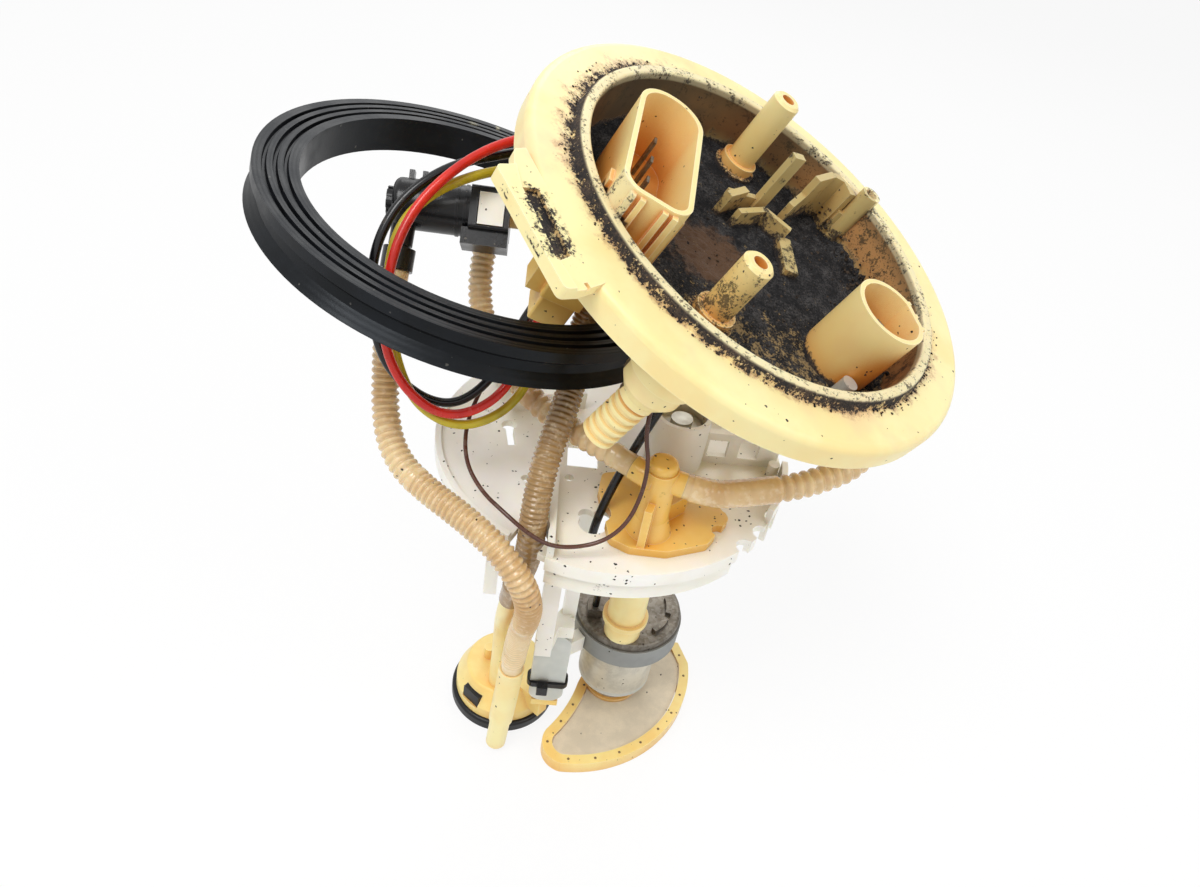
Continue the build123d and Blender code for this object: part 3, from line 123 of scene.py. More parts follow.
def corner_angles(sides):
    return [FULL_TURN * corner / sides for corner in range(sides)]


def linear(level):
    """Linear light of one screen level, 0 to 255."""
    return ((level / 255 + 0.055) / 1.055) ** 2.4 if level > 10 else level / 255 / 12.92


def tone(red, green, blue):
    """Screen colour, 0 to 255, as the linear values that sockets take."""
    return tuple(linear(level) for level in (red, green, blue))


# ------------------------------------------------------------------ cord routes

# Control points of each line, in metres, from where it leaves its seat to where it goes in.
HOSE_JET = [
    (-0.06307, -0.00874, 0.19107), (-0.06355, -0.01377, 0.18487), (-0.06404, -0.01822, 0.172),
    (-0.06424, -0.02012, 0.1615), (-0.06354, -0.02562, 0.1525), (-0.06074, -0.03462, 0.1465),
    (-0.05524, -0.04262, 0.1425), (-0.04624, -0.05012, 0.1405), (-0.03474, -0.05812, 0.139),
    (-0.02424, -0.06662, 0.137), (-0.01574, -0.07212, 0.1295), (-0.01194, -0.07112, 0.1175),
    (-0.01184, -0.06412, 0.102), (-0.01284, -0.05612, 0.087), (-0.01364, -0.05022, 0.071),
    (-0.01414, -0.04762, 0.055)]
HOSE_RETURN = [
    (0.00134, -0.02012, 0.20597), (-0.00169, -0.01844, 0.19875), (-0.00464, -0.01842, 0.188),
    (-0.00584, -0.02202, 0.1794), (-0.00664, -0.03102, 0.1718), (-0.00884, -0.03962, 0.1658),
    (-0.01134, -0.04622, 0.1584), (-0.01294, -0.05122, 0.15), (-0.01364, -0.05552, 0.1405),
    (-0.01354, -0.05682, 0.1305), (-0.01424, -0.05542, 0.119), (-0.01624, -0.05112, 0.1065),
    (-0.01754, -0.04712, 0.092)]
HOSE_SUPPLY = [
    (-0.00794, 0.01838, 0.2116), (-0.01605, 0.0185, 0.20907), (-0.02574, 0.01978, 0.206),
    (-0.03374, 0.01918, 0.1998), (-0.03824, 0.01638, 0.1915), (-0.03924, 0.01088, 0.182),
    (-0.03774, 0.00338, 0.173), (-0.03224, -0.00612, 0.166), (-0.02274, -0.01862, 0.1614),
    (-0.01274, -0.02802, 0.1584), (-0.00334, -0.03562, 0.1578), (0.00596, -0.04322, 0.1584),
    (0.01426, -0.04842, 0.1574)]
HOSE_FEED = [
    (0.02976, -0.05302, 0.1561), (0.03706, -0.05492, 0.1554), (0.04476, -0.05522, 0.157),
    (0.05376, -0.05422, 0.1586), (0.06406, -0.05182, 0.1598), (0.07336, -0.04812, 0.1615),
    (0.08096, -0.04422, 0.1634), (0.08596, -0.03862, 0.1655), (0.08776, -0.03212, 0.1676),
    (0.08676, -0.02562, 0.1699), (0.08277, -0.01922, 0.17273), (0.07876, -0.01312, 0.176)]
WIRE_RED = [
    (-0.01716, -0.02029, 0.19061), (-0.01942, -0.01904, 0.1852), (-0.02164, -0.02522, 0.1788),
    (-0.02444, -0.03202, 0.1732), (-0.02824, -0.03702, 0.1692), (-0.03384, -0.04032, 0.166),
    (-0.04034, -0.04262, 0.1646), (-0.04744, -0.04312, 0.1663), (-0.05474, -0.04162, 0.1717),
    (-0.05964, -0.03862, 0.1786), (-0.06184, -0.03562, 0.1858), (-0.06214, -0.03162, 0.1942),
    (-0.06124, -0.02712, 0.2034), (-0.05934, -0.02202, 0.2104), (-0.05544, -0.01642, 0.2174),
    (-0.04904, -0.01002, 0.2234), (-0.04184, -0.00362, 0.2278), (-0.03384, 0.00298, 0.2304),
    (-0.02424, 0.00718, 0.2324), (-0.01584, 0.01198, 0.2316), (-0.00704, 0.02118, 0.2254),
    (0.00256, 0.02718, 0.2136), (0.00896, 0.02678, 0.1974), (0.01076, 0.02578, 0.181),
    (0.01616, 0.02628, 0.166), (0.01976, 0.02818, 0.151), (0.02156, 0.03058, 0.137),
    (0.02236, 0.02778, 0.122), (0.02316, 0.02038, 0.104), (0.02456, 0.01038, 0.086),
    (0.02616, -0.00062, 0.0695), (0.02616, -0.00062, 0.059)]
WIRE_YELLOW = [
    (-0.01373, -0.01996, 0.18925), (-0.016, -0.0187, 0.18384), (-0.01764, -0.02422, 0.177),
    (-0.02004, -0.03082, 0.1706), (-0.02424, -0.03602, 0.1656), (-0.03034, -0.03962, 0.1621),
    (-0.03724, -0.04162, 0.1604), (-0.04434, -0.04222, 0.1617), (-0.05204, -0.04012, 0.1661),
    (-0.05714, -0.03612, 0.1737), (-0.05994, -0.03212, 0.1822), (-0.06184, -0.02762, 0.1919),
    (-0.06254, -0.02342, 0.201), (-0.06114, -0.01902, 0.2086), (-0.05744, -0.01452, 0.2144),
    (-0.05044, -0.00922, 0.2192), (-0.04154, -0.00432, 0.2224), (-0.03224, 0.00068, 0.2236),
    (-0.02284, 0.00678, 0.2234), (-0.01524, 0.01538, 0.221), (-0.01004, 0.02598, 0.2146),
    (-0.00464, 0.03398, 0.204), (0.00196, 0.03578, 0.191), (0.00776, 0.03598, 0.178),
    (0.01316, 0.03638, 0.168), (0.02016, 0.03478, 0.1614), (0.02736, 0.03038, 0.1586),
    (0.03276, 0.02618, 0.151), (0.03276, 0.02618, 0.144)]
WIRE_BLACK = [
    (-0.02058, -0.02063, 0.19197), (-0.02285, -0.01937, 0.18656), (-0.02624, -0.02382, 0.1796),
    (-0.02964, -0.02842, 0.1722), (-0.03484, -0.03242, 0.1664), (-0.04114, -0.03522, 0.1633),
    (-0.04844, -0.03612, 0.1641), (-0.05584, -0.03512, 0.1682), (-0.06174, -0.03312, 0.1735),
    (-0.06504, -0.03092, 0.1814), (-0.06684, -0.02762, 0.1912), (-0.06714, -0.02312, 0.2009),
    (-0.06534, -0.01862, 0.2085), (-0.06114, -0.01302, 0.2156), (-0.05364, -0.00672, 0.2214),
    (-0.04464, -0.00042, 0.2246), (-0.03424, 0.00478, 0.226), (-0.02464, 0.00958, 0.2272),
    (-0.01704, 0.01418, 0.2264), (-0.00924, 0.02238, 0.2216), (0.00016, 0.02978, 0.2114),
    (0.00736, 0.03098, 0.1964), (0.01036, 0.03038, 0.1805), (0.01736, 0.03058, 0.166),
    (0.02336, 0.03038, 0.152), (0.02536, 0.02918, 0.137), (0.02596, 0.02638, 0.122),
    (0.02696, 0.01938, 0.104), (0.02916, 0.00978, 0.086), (0.03136, -0.00062, 0.0695),
    (0.03136, -0.00062, 0.059)]
WIRE_BROWN = [
    (-0.01717, -0.0164, 0.19152), (-0.01944, -0.01514, 0.18611), (-0.02364, -0.01682, 0.1794),
    (-0.02884, -0.02022, 0.1722), (-0.03364, -0.02622, 0.1646), (-0.03724, -0.03562, 0.1568),
    (-0.03604, -0.04662, 0.1514), (-0.03024, -0.05552, 0.148), (-0.02264, -0.06282, 0.147),
    (-0.01524, -0.06682, 0.1435), (-0.00824, -0.06702, 0.1394), (-0.00054, -0.06522, 0.138),
    (0.00776, -0.06402, 0.1406), (0.01376, -0.06202, 0.147), (0.01666, -0.05862, 0.156),
    (0.01696, -0.05662, 0.166), (0.01466, -0.05522, 0.1745), (0.01456, -0.05302, 0.1822),
    (0.01676, -0.04962, 0.19), (0.02001, -0.04642, 0.19757), (0.02265, -0.04789, 0.20388)]
WIRE_LEAD = [
    (0.03921, -0.02193, 0.20298), (0.03468, -0.01941, 0.19216), (0.02796, -0.02502, 0.1786),
    (0.02156, -0.03062, 0.167), (0.01476, -0.03722, 0.1542), (0.00876, -0.04442, 0.1414),
    (0.00556, -0.04782, 0.128), (0.00656, -0.04502, 0.112), (0.01076, -0.03362, 0.092),
    (0.01536, -0.02142, 0.078), (0.01636, -0.01762, 0.068), (0.01636, -0.01762, 0.059)]


# ------------------------------------------------------------------ settings

def size_setting(name, text, default):
    return FloatProperty(name=name, description=text, default=default, unit="LENGTH", precision=5)


def colour_setting(name, text, default):
    return FloatVectorProperty(name=name, description=text, default=default, subtype="COLOR", size=3,
                               min=0.0, max=1.0)


class ModuleSizes(bpy.types.PropertyGroup):
    """Sizes of the ribbed hoses, the wires, the recess dirt and the rivets."""
    hose_width: size_setting("Hose width", "Outside diameter of the jet and return hoses", 0.0088)
    feed_width: size_setting("Feed hose width", "Outside diameter of the feed hose", 0.0084)
    supply_width: size_setting("Supply hose width", "Outside diameter of the supply hose", 0.0080)
    rib_depth: size_setting("Rib depth", "Height of a hose rib over the valley beside it", 0.0009)
    wire_width: size_setting("Wire width", "Outside diameter of an insulated wire", 0.0028)
    thin_wire_width: size_setting("Thin wire width", "Outside diameter of the brown wire", 0.0013)
    soot_depth: size_setting("Soot depth", "Mean depth of the dirt on the recess floor", 0.0006)
    rivet_width: size_setting("Rivet width", "Diameter of a strainer rivet", 0.0011)
    hose_sides: IntProperty(name="Hose sides", description="Faces round a hose", default=26, min=8)


class ModuleColours(bpy.types.PropertyGroup):
    """Colours of the module's finishes."""
    cream: colour_setting("Cream plastic", "Fuel-stained cream of the cover", tone(250, 236, 174))
    amber: colour_setting("Amber plastic", "Deeper amber of the T piece", tone(242, 204, 118))
    white: colour_setting("White plastic", "Off-white of the plate", tone(252, 250, 244))
    hose: colour_setting("Hose plastic", "Fuel-stained tan of the hoses", tone(236, 210, 162))
    black_plastic: colour_setting("Black plastic", "Quick connector", tone(14, 14, 16))
    rubber: colour_setting("Black rubber", "Seal ring and foot ring", tone(11, 12, 14))
    red: colour_setting("Red jacket", "Jacket of the red wire", tone(226, 46, 32))
    yellow: colour_setting("Yellow jacket", "Jacket of the yellow wire", tone(206, 186, 44))
    black: colour_setting("Black jacket", "Jacket of the black wires", tone(16, 16, 18))
    brown: colour_setting("Brown jacket", "Jacket of the brown wire", tone(92, 56, 44))
    steel: colour_setting("Pump steel", "Zinc-plated steel of the pump case", tone(214, 212, 202))
    band: colour_setting("Pump band", "Grey holder ring of the pump", tone(144, 146, 144))
    cloth: colour_setting("Strainer cloth", "Woven cloth of the strainer", tone(244, 228, 200))
    soot: colour_setting("Soot", "Dirt on the cover", tone(34, 31, 32))


def sizes():
    return bpy.context.scene.pump_module_sizes


def colours():
    return bpy.context.scene.pump_module_colours


# ------------------------------------------------------------------ node wiring

class Wiring:
    """Adds nodes to one tree and joins them."""

    def __init__(self, tree):
        self.tree = tree

    def node(self, kind, settings=None, **inputs):
        made = self.tree.nodes.new(kind)
        for name, value in (settings or {}).items():
            setattr(made, name, value)
        self.fill(made, **inputs)
        return made

    def fill(self, node, **inputs):
        """Feeds inputs by name, with _ for each space, or by number as i0, i1 and so on."""
        for name, value in inputs.items():
            numbered = name[0] == "i" and name[1:].isdigit()
            self.feed(node.inputs[int(name[1:]) if numbered else name.replace("_", " ")], value)

    def feed(self, socket, value):
        if isinstance(value, bpy.types.NodeSocket):
            self.tree.links.new(value, socket)
        elif hasattr(socket.default_value, "__len__") and hasattr(value, "__len__"):
            wanted = len(socket.default_value)
            socket.default_value = (tuple(value) + (1.0,))[:wanted] if wanted == 4 else tuple(value)
        else:
            socket.default_value = value

    def math(self, operation, first, second=0.0, clamp=False):
        settings = {"operation": operation, "use_clamp": clamp}
        return self.node("ShaderNodeMath", settings, i0=first, i1=second).outputs[0]

    def chain(self, operation, values):
        """The same operation from the first value to the last."""
        result = values[0]
        for value in values[1:]:
            result = self.math(operation, result, value)
        return result

    def times(self, *values):
        return self.chain("MULTIPLY", values)

    def plus(self, *values):
        return self.chain("ADD", values)

    def most(self, *values):
        return self.chain("MAXIMUM", values)

    def minus(self, first, second):
        return self.math("SUBTRACT", first, second)

    def ratio(self, first, second):
        return self.math("DIVIDE", first, second)

    def step(self, value, low, high, start=0.0, end=1.0):
        """Smooth rise from start to end as the value goes from low to high."""
        made = self.node("ShaderNodeMapRange", {"interpolation_type": "SMOOTHSTEP"}, Value=value,
                         From_Min=low, From_Max=high, To_Min=start, To_Max=end)
        return made.outputs[0]

    def mix(self, share, first, second):
        made = self.node("ShaderNodeMix", {"data_type": "RGBA"}, i0=share, i6=first, i7=second)
        return made.outputs[2]

    def noise(self, scale, detail=3.0, roughness=0.55):
        made = self.node("ShaderNodeTexNoise", None, Scale=scale, Detail=detail, Roughness=roughness,
                         Vector=self.place())
        return made.outputs["Fac"]

    def place(self):
        return self.node("ShaderNodeTexCoord").outputs["Object"]

    def vector(self, operation, *values, output="Vector"):
        made = self.node("ShaderNodeVectorMath", {"operation": operation})
        for socket, value in zip(made.inputs, values):
            self.feed(socket, value)
        return made.outputs[output]

    def dot(self, vector, direction):
        return self.vector("DOT_PRODUCT", vector, direction, output="Value")

    def length(self, vector):
        return self.vector("LENGTH", vector, output="Value")

    def reach(self, across, along):
        """Length of the line with these two coordinates."""
        return self.length(self.node("ShaderNodeCombineXYZ", None, X=across, Y=along).outputs[0])

    def group(self, name, **inputs):
        return self.node("ShaderNodeGroup", {"node_tree": bpy.data.node_groups[name]}, **inputs)

    def mask(self, name, **inputs):
        return self.group(name, **inputs).outputs["Mask"]


# ------------------------------------------------------------------ shared effects

FLOAT = "NodeSocketFloat"
COLOUR = "NodeSocketColor"


def new_group(name, inputs, outputs):
    """Empty shader group; gives its wiring, what it is given and what it gives out."""
    tree = bpy.data.node_groups.new(name, "ShaderNodeTree")
    for label, kind, value in inputs:
        socket = tree.interface.new_socket(label, in_out="INPUT", socket_type=kind)
        socket.default_value = value
    for label, kind in outputs:
        tree.interface.new_socket(label, in_out="OUTPUT", socket_type=kind)
    enter, leave = tree.nodes.new("NodeGroupInput"), tree.nodes.new("NodeGroupOutput")
    return Wiring(tree), enter.outputs, leave


def dirt_specks_effect():
    """Small separate spots of dirt, uneven in shape and size, that gather in places."""
    w, given, leave = new_group("Dirt specks", [("Scale", FLOAT, 300.0), ("Size", FLOAT, 0.3),
                                                ("Share", FLOAT, 0.3)], [("Mask", FLOAT)])
    warp = w.node("ShaderNodeTexNoise", None, Scale=1300.0, Detail=3.0, Vector=w.place())
    shifted = w.vector("MULTIPLY_ADD", warp.outputs["Color"], (0.0009, 0.0009, 0.0009), w.place())
    cells = w.node("ShaderNodeTexVoronoi", {"feature": "F1"}, Vector=shifted, Scale=given["Scale"])
    parts = w.node("ShaderNodeSeparateColor", None, Color=cells.outputs["Color"])
    reach = w.times(w.math("POWER", parts.outputs[1], 2.0), given["Size"])
    inside = w.step(w.minus(reach, cells.outputs["Distance"]), -0.02, 0.05)
    crowd = w.step(w.noise(55.0), 0.40, 0.66, 0.25, 1.9)
    chosen = w.math("LESS_THAN", parts.outputs[0], w.times(crowd, given["Share"]))
    w.fill(leave, Mask=w.times(inside, chosen))


def patches_effect():
    """Soft-edged patches."""
    w, given, leave = new_group("Patches", [("Scale", FLOAT, 60.0), ("Level", FLOAT, 0.55),
                                            ("Softness", FLOAT, 0.06)], [("Mask", FLOAT)])
    field = w.noise(given["Scale"], 6.0, 0.6)
    low = w.minus(given["Level"], given["Softness"])
    high = w.plus(given["Level"], given["Softness"])
    w.fill(leave, Mask=w.step(field, low, high))


def moulded_face_effect():
    """Fine grain and slow waviness of a moulded face."""
    w, given, leave = new_group("Moulded face", [("Grain", FLOAT, 0.3), ("Waviness", FLOAT, 0.5)],
                                [("Height", FLOAT), ("Tint", FLOAT)])
    grain = w.times(w.noise(2600.0, 2.0), given["Grain"])
    waves = w.times(w.noise(110.0), given["Waviness"])
    w.fill(leave, Height=w.plus(grain, waves), Tint=w.noise(34.0, 4.0, 0.6))


def edge_line_effect():
    """Mask of outer edges, from the bevelled normal against the true one."""
    w, given, leave = new_group("Edge line", [("Width", FLOAT, 0.0005)], [("Mask", FLOAT)])
    rounded = w.node("ShaderNodeBevel", {"samples": 6}, Radius=given["Width"])
    flat = w.node("ShaderNodeNewGeometry")
    alike = w.dot(rounded.outputs[0], flat.outputs["Normal"])
    w.fill(leave, Mask=w.step(alike, 0.995, 0.86))


def hollow_effect():
    """Mask of hollows, where little light comes in."""
    w, given, leave = new_group("Hollow", [("Reach", FLOAT, 0.012)], [("Mask", FLOAT)])
    openness = w.node("ShaderNodeAmbientOcclusion", {"samples": 6}, Distance=given["Reach"])
    w.fill(leave, Mask=w.step(openness.outputs["AO"], 0.92, 0.3))


def cover_place_effect():
    """Place on the cover, in millimetres: from its axis, over its rim's top face, across and along."""
    w, _, leave = new_group("Cover place", [], [("Radius", FLOAT), ("Height", FLOAT),
                                                ("Across", FLOAT), ("Along", FLOAT)])
    centred = w.vector("SUBTRACT", w.place(), COVER_ORIGIN)
    across, along, height = (w.times(w.dot(centred, direction), PER_METRE)
                             for direction in (COVER_ACROSS, COVER_ALONG, COVER_UP))
    radius = w.math("SQRT", w.plus(w.times(across, across), w.times(along, along)))
    w.fill(leave, Radius=radius, Height=height, Across=across, Along=along)


def ring_place_effect():
    """Distance from the seal ring's axis, in millimetres."""
    w, _, leave = new_group("Ring place", [], [("Radius", FLOAT)])
    centred = w.vector("SUBTRACT", w.place(), RING_ORIGIN)
    height = w.dot(centred, RING_UP)
    square = w.minus(w.math("POWER", w.length(centred), 2.0), w.math("POWER", height, 2.0))
    w.fill(leave, Radius=w.times(w.math("SQRT", square), PER_METRE))


def soot_grains_effect():
    """Colour and height of crumbly soot."""
    w, given, leave = new_group("Soot grains", [("Dark", COLOUR, (0.02, 0.02, 0.02, 1.0)),
                                                ("Light", COLOUR, (0.08, 0.07, 0.06, 1.0))],
                                [("Color", COLOUR), ("Height", FLOAT)])
    fine = w.noise(1500.0, 5.0, 0.7)
    broad = w.noise(170.0, 4.0, 0.6)
    share = w.step(w.plus(fine, w.times(broad, 0.7)), 0.75, 1.15)
    w.fill(leave, Color=w.mix(share, given["Dark"], given["Light"]), Height=w.plus(fine, broad))


def make_effects():
    """Effects that several finishes share."""
    for effect in (dirt_specks_effect, patches_effect, moulded_face_effect, edge_line_effect, hollow_effect,
                   cover_place_effect, ring_place_effect, soot_grains_effect):
        effect()


# ------------------------------------------------------------------ finishes

def new_material(name):
    """Material with a Principled shader; gives the material, its wiring and that shader."""
    material = bpy.data.materials.new(name)
    material.use_nodes = True
    tree = material.node_tree
    tree.nodes.clear()
    shader = tree.nodes.new("ShaderNodeBsdfPrincipled")
    out = tree.nodes.new("ShaderNodeOutputMaterial")
    tree.links.new(shader.outputs[0], out.inputs["Surface"])
    return material, Wiring(tree), shader


def shade(colour, factor):
    return tuple(c * factor for c in colour)


def bump(w, shader, height, strength, distance):
    made = w.node("ShaderNodeBump", None, Height=height, Strength=strength, Distance=distance)
    w.fill(shader, Normal=made.outputs[0])


def translucence(w, shader, weight, depths, refraction):
    """Light that sinks into the plastic: how much, how far for each colour, and its refraction."""
    w.fill(shader, Subsurface_Weight=weight, Subsurface_Radius=depths, Subsurface_Scale=1.0, IOR=refraction)


def soft_plastic(name, colour, deep, hollow_shade, dirt, dirt_scale=900.0, roughness=0.34, glow=0.12):
    """Moulded plastic stained by fuel: uneven tint, painted shade that deepens the colour in hollows, specks
    of dirt, pale edges.
    """
    material, w, shader = new_material(name)
    face = w.group("Moulded face", Grain=0.3, Waviness=0.5)
    tint = face.outputs["Tint"]
    stained = w.mix(w.step(tint, 0.36, 0.68), colour, deep)
    # Painted shade: a darker colour in hollows, where little light comes in.
    stained = w.mix(w.times(w.mask("Hollow", Reach=0.010), 0.75), stained, hollow_shade)
    pale = w.mix(0.4, colour, (1.0, 0.98, 0.92))
    stained = w.mix(w.times(w.mask("Edge line", Width=0.0005), 0.45), stained, pale)
    specks = w.mask("Dirt specks", Scale=dirt_scale, Size=0.42, Share=dirt)
    smudge = w.mask("Patches", Scale=75.0, Level=0.64, Softness=0.05)
    grime = w.times(w.noise(1500.0, 4.0, 0.7), smudge)
    stained = w.mix(w.step(grime, 0.46, 0.62, 0.0, min(1.0, dirt * 5)), stained, shade(hollow_shade, 0.35))
    rough = w.plus(w.times(tint, 0.22), roughness - 0.1)
    w.fill(shader, Base_Color=w.mix(specks, stained, tone(46, 38, 32)),
           Roughness=w.most(rough, w.times(specks, 0.9)))
    translucence(w, shader, glow, (0.0022, 0.0014, 0.0007), 1.48)
    bump(w, shader, w.plus(face.outputs["Height"], w.times(specks, 0.6)), 0.35, 0.0002)
    return material


class CoverField:
    """Places on the cover, in millimetres, and the uneven fields that its kinds of dirt share."""

    def __init__(self, w, coarseness, raggedness):
        here = w.group("Cover place").outputs
        self.w = w
        self.radius, self.height = here["Radius"], here["Height"]
        self.across, self.along = here["Across"], here["Along"]
        self.fine = w.noise(1300.0, 5.0, 0.7)
        self.ragged = w.noise(coarseness, 6.0, raggedness)
        self.grit = w.plus(w.times(self.ragged, 0.55), w.times(self.fine, 0.45))

    def off(self, place):
        """Distances from a place on the cover, across and along."""
        return self.w.minus(self.across, place[0]), self.w.minus(self.along, place[1])


def clean_cover(w, on, tint, slow):
    """Clean plastic: rosy stains, painted shade as a deeper orange inside the recess and where little light
    comes in, pale worn edges.
    """
    clean = w.mix(w.step(tint, 0.42, 0.66), colours().cream, tone(250, 226, 158))
    clean = w.mix(w.step(slow, 0.54, 0.72, 0.0, 0.4), clean, tone(244, 204, 160))
    # Painted shade: a deeper orange over what stands inside the recess, stronger lower down.
    recess_shade = w.times(w.step(on.radius, RECESS_RADIUS + 0.6, RECESS_RADIUS - 0.4, 0.0, 0.6),
                       w.step(on.height, 14.0, -4.0, 0.35, 1.0))
    clean = w.mix(recess_shade, clean, tone(241, 198, 110))
    # Painted shade: deeper orange where little light comes in, mostly inside the recess.
    deep = w.times(w.mask("Hollow", Reach=0.014),
                   w.step(on.radius, RECESS_RADIUS + 3.0, RECESS_RADIUS, 0.45, 1.0))
    clean = w.mix(deep, clean, tone(222, 146, 62))
    return w.mix(w.times(w.mask("Edge line", Width=0.0006), 0.45), clean, tone(255, 248, 214))


def recess_wall(w, on, slow, dressed):
    """Recess wall: brown, with painted shade that makes it darkest under the lip, tan and gritty on the low
    side.
    """
    inside = w.step(on.radius, RECESS_RADIUS + 1.9, RECESS_RADIUS + 1.5)
    near_wall = w.times(w.step(on.radius, RECESS_RADIUS - 1.1, RECESS_RADIUS - 0.4), inside,
                        w.step(on.height, 2.9, 2.3))
    low_side = w.step(on.across, 5.0, 45.0)
    wall = w.mix(w.step(slow, 0.40, 0.60), tone(112, 84, 58), tone(82, 66, 52))
    wall = w.mix(low_side, wall, tone(184, 134, 84))
    # Painted shade: darker towards the lip, where it overhangs the wall.
    wall = w.mix(w.step(on.height, -5.0, 2.0, 0.0, 0.6), wall, tone(58, 48, 42))
    grit = w.step(w.plus(on.grit, w.times(low_side, 0.03)), 0.53, 0.58, 0.0, 0.85)
    return w.mix(w.times(near_wall, 0.96), dressed, w.mix(grit, wall, tone(42, 35, 32)))


def floor_soot(w, on):
    """Soot on the recess floor, which climbs raggedly where things stand on it."""
    ragged_height = w.plus(on.height, w.times(w.minus(on.grit, 0.5), -9.0))
    return w.times(w.step(ragged_height, FLOOR_HEIGHT + 2.8, FLOOR_HEIGHT + 1.6),
                   w.step(on.radius, RECESS_RADIUS + 1.2, RECESS_RADIUS + 0.6),
                   w.step(on.height, FLOOR_HEIGHT - 1.5, FLOOR_HEIGHT - 0.6))


def rim_powder(w, on, slow):
    """Powder where the lip stands on the rim, wide on the main socket's side and narrower on the low side."""
    size = w.most(on.radius, 1.0)
    socket_side = w.ratio(w.plus(w.times(on.across, -0.86), w.times(on.along, 0.5)), size)
    low_side = w.ratio(on.across, size)
    width = w.plus(w.times(w.most(socket_side, 0.0), 3.6), w.times(w.most(low_side, 0.0), 1.8), 1.5,
                   w.times(w.minus(slow, 0.5), 5.0))
    drift = w.ratio(w.minus(on.radius, NECK_RADIUS - 0.6), w.most(width, 0.8))
    on_rim = w.times(w.step(on.height, -1.5, -0.4),
                     w.step(on.radius, NECK_RADIUS - 1.0, NECK_RADIUS - 0.4))
    level = w.plus(w.times(drift, 0.21), 0.385)
    powder = w.times(w.step(w.minus(on.grit, level), 0.0, 0.035), on_rim)
    halo = w.times(w.step(w.minus(on.ragged, level), -0.16, 0.06, 0.0, 0.55), on_rim)
    return powder, halo


def lip_top(w, on):
    """Mask of the top of the lip, which is greyed and gritty."""
    on_lip = w.times(w.step(on.radius, RECESS_RADIUS + 0.6, RECESS_RADIUS + 1.2),
                     w.step(on.radius, NECK_RADIUS, NECK_RADIUS - 0.7))
    return w.times(on_lip, w.step(on.height, 0.4, 1.2))


def clip_corner(w, on):
    """Mask of what stands in the cable clip's part of the recess, except the high nipple."""
    corner = w.times(w.times(w.step(on.across, -9.0, -7.0), w.step(on.along, 2.5, 5.0)),
                     w.times(w.step(on.radius, RECESS_RADIUS + 0.4, RECESS_RADIUS),
                             w.step(on.height, FLOOR_HEIGHT - 0.2, FLOOR_HEIGHT + 0.4)))
    return w.times(corner, w.step(w.reach(*on.off(HIGH_NIPPLE)), 8.6, 9.6))


def clip_soot(w, on, corner):
    """Soot on the clip, thicker towards the floor."""
    field = w.plus(w.times(on.ragged, 0.8), w.times(on.fine, 0.2))
    by_floor = w.step(on.height, -4.0, FLOOR_HEIGHT + 1.0, 0.0, 0.12)
    return w.times(corner, w.step(w.plus(field, by_floor), 0.585, 0.65, 0.0, 0.9))


def nipple_soot(w, on):
    """Dirt that clings to the low nipple, thicker towards its foot."""
    near = w.times(w.step(w.reach(*on.off(LOW_NIPPLE)), 10.0, 9.0),
                   w.step(on.radius, RECESS_RADIUS - 1.0, RECESS_RADIUS - 2.0),
                   w.step(on.height, 14.0, -10.0, 0.0, 0.09))
    return w.times(w.step(w.plus(on.grit, near), 0.58, 0.63, 0.0, 0.8), w.step(near, 0.0, 0.01))


def lug_soot(w, on):
    """Dirt caught in the lug's pocket and along the strip beside it."""
    across, along = on.off(LUG_POCKET)
    aside = w.plus(w.times(across, LUG_TURN[0]), w.times(along, LUG_TURN[1]))
    down = w.plus(w.times(across, LUG_TURN[1]), w.times(along, -LUG_TURN[0]))
    past_end = w.most(w.minus(w.math("ABSOLUTE", down), 9.0), 0.0)
    past_side = w.most(w.minus(w.math("ABSOLUTE", aside), 2.0), 0.0)
    strayed = w.plus(w.times(past_end, 0.030), w.times(past_side, 0.026))
    sunk = w.step(on.height, -0.9, -1.4, 0.0, 0.06)
    field = w.plus(w.minus(on.grit, strayed), sunk)
    top = w.times(w.step(on.radius, COVER_RADIUS - 2.0, COVER_RADIUS), w.step(on.height, -1.9, -1.7))
    return w.times(w.step(field, 0.455, 0.52), top)


def soiled_cover():
    """Cream cover with soot on the recess floor, stained walls darkened by painted shade under the lip,
    painted shade in the recess and its hollows, and a ring of dirt round its lip.
    """
    material, w, shader = new_material("cover_cream")
    on = CoverField(w, 240.0, 0.72)
    slow = w.noise(38.0, 3.0, 0.6)
    face = w.group("Moulded face", Grain=0.3, Waviness=0.5)
    tint = face.outputs["Tint"]
    specks = w.mask("Dirt specks", Scale=900.0, Size=0.44, Share=0.06)
    grains = w.group("Soot grains", Dark=colours().soot, Light=tone(92, 76, 64))

    dressed = recess_wall(w, on, slow, clean_cover(w, on, tint, slow))
    powder, halo = rim_powder(w, on, slow)
    dressed = w.mix(halo, dressed, tone(170, 112, 76))
    lip = lip_top(w, on)
    dressed = w.mix(w.times(lip, 0.6), dressed, tone(226, 216, 178))
    lip_dirt = w.times(w.step(on.grit, 0.53, 0.58, 0.0, 0.85), lip)
    corner = clip_corner(w, on)
    dressed = w.mix(w.times(corner, 0.7), dressed, tone(176, 160, 108))

    soot = w.most(floor_soot(w, on), powder, lip_dirt, clip_soot(w, on, corner), lug_soot(w, on),
                  nipple_soot(w, on), specks)
    rough = w.plus(w.times(tint, 0.25), 0.24)
    w.fill(shader, Base_Color=w.mix(soot, dressed, grains.outputs["Color"]),
           Roughness=w.math("ADD", rough, w.times(soot, 0.5), clamp=True))
    translucence(w, shader, 0.12, (0.0024, 0.0014, 0.0006), 1.48)
    relief = w.plus(w.times(face.outputs["Height"], 0.25), w.times(grains.outputs["Height"], soot, 2.0))
    bump(w, shader, relief, 0.6, 0.0004)
    return material


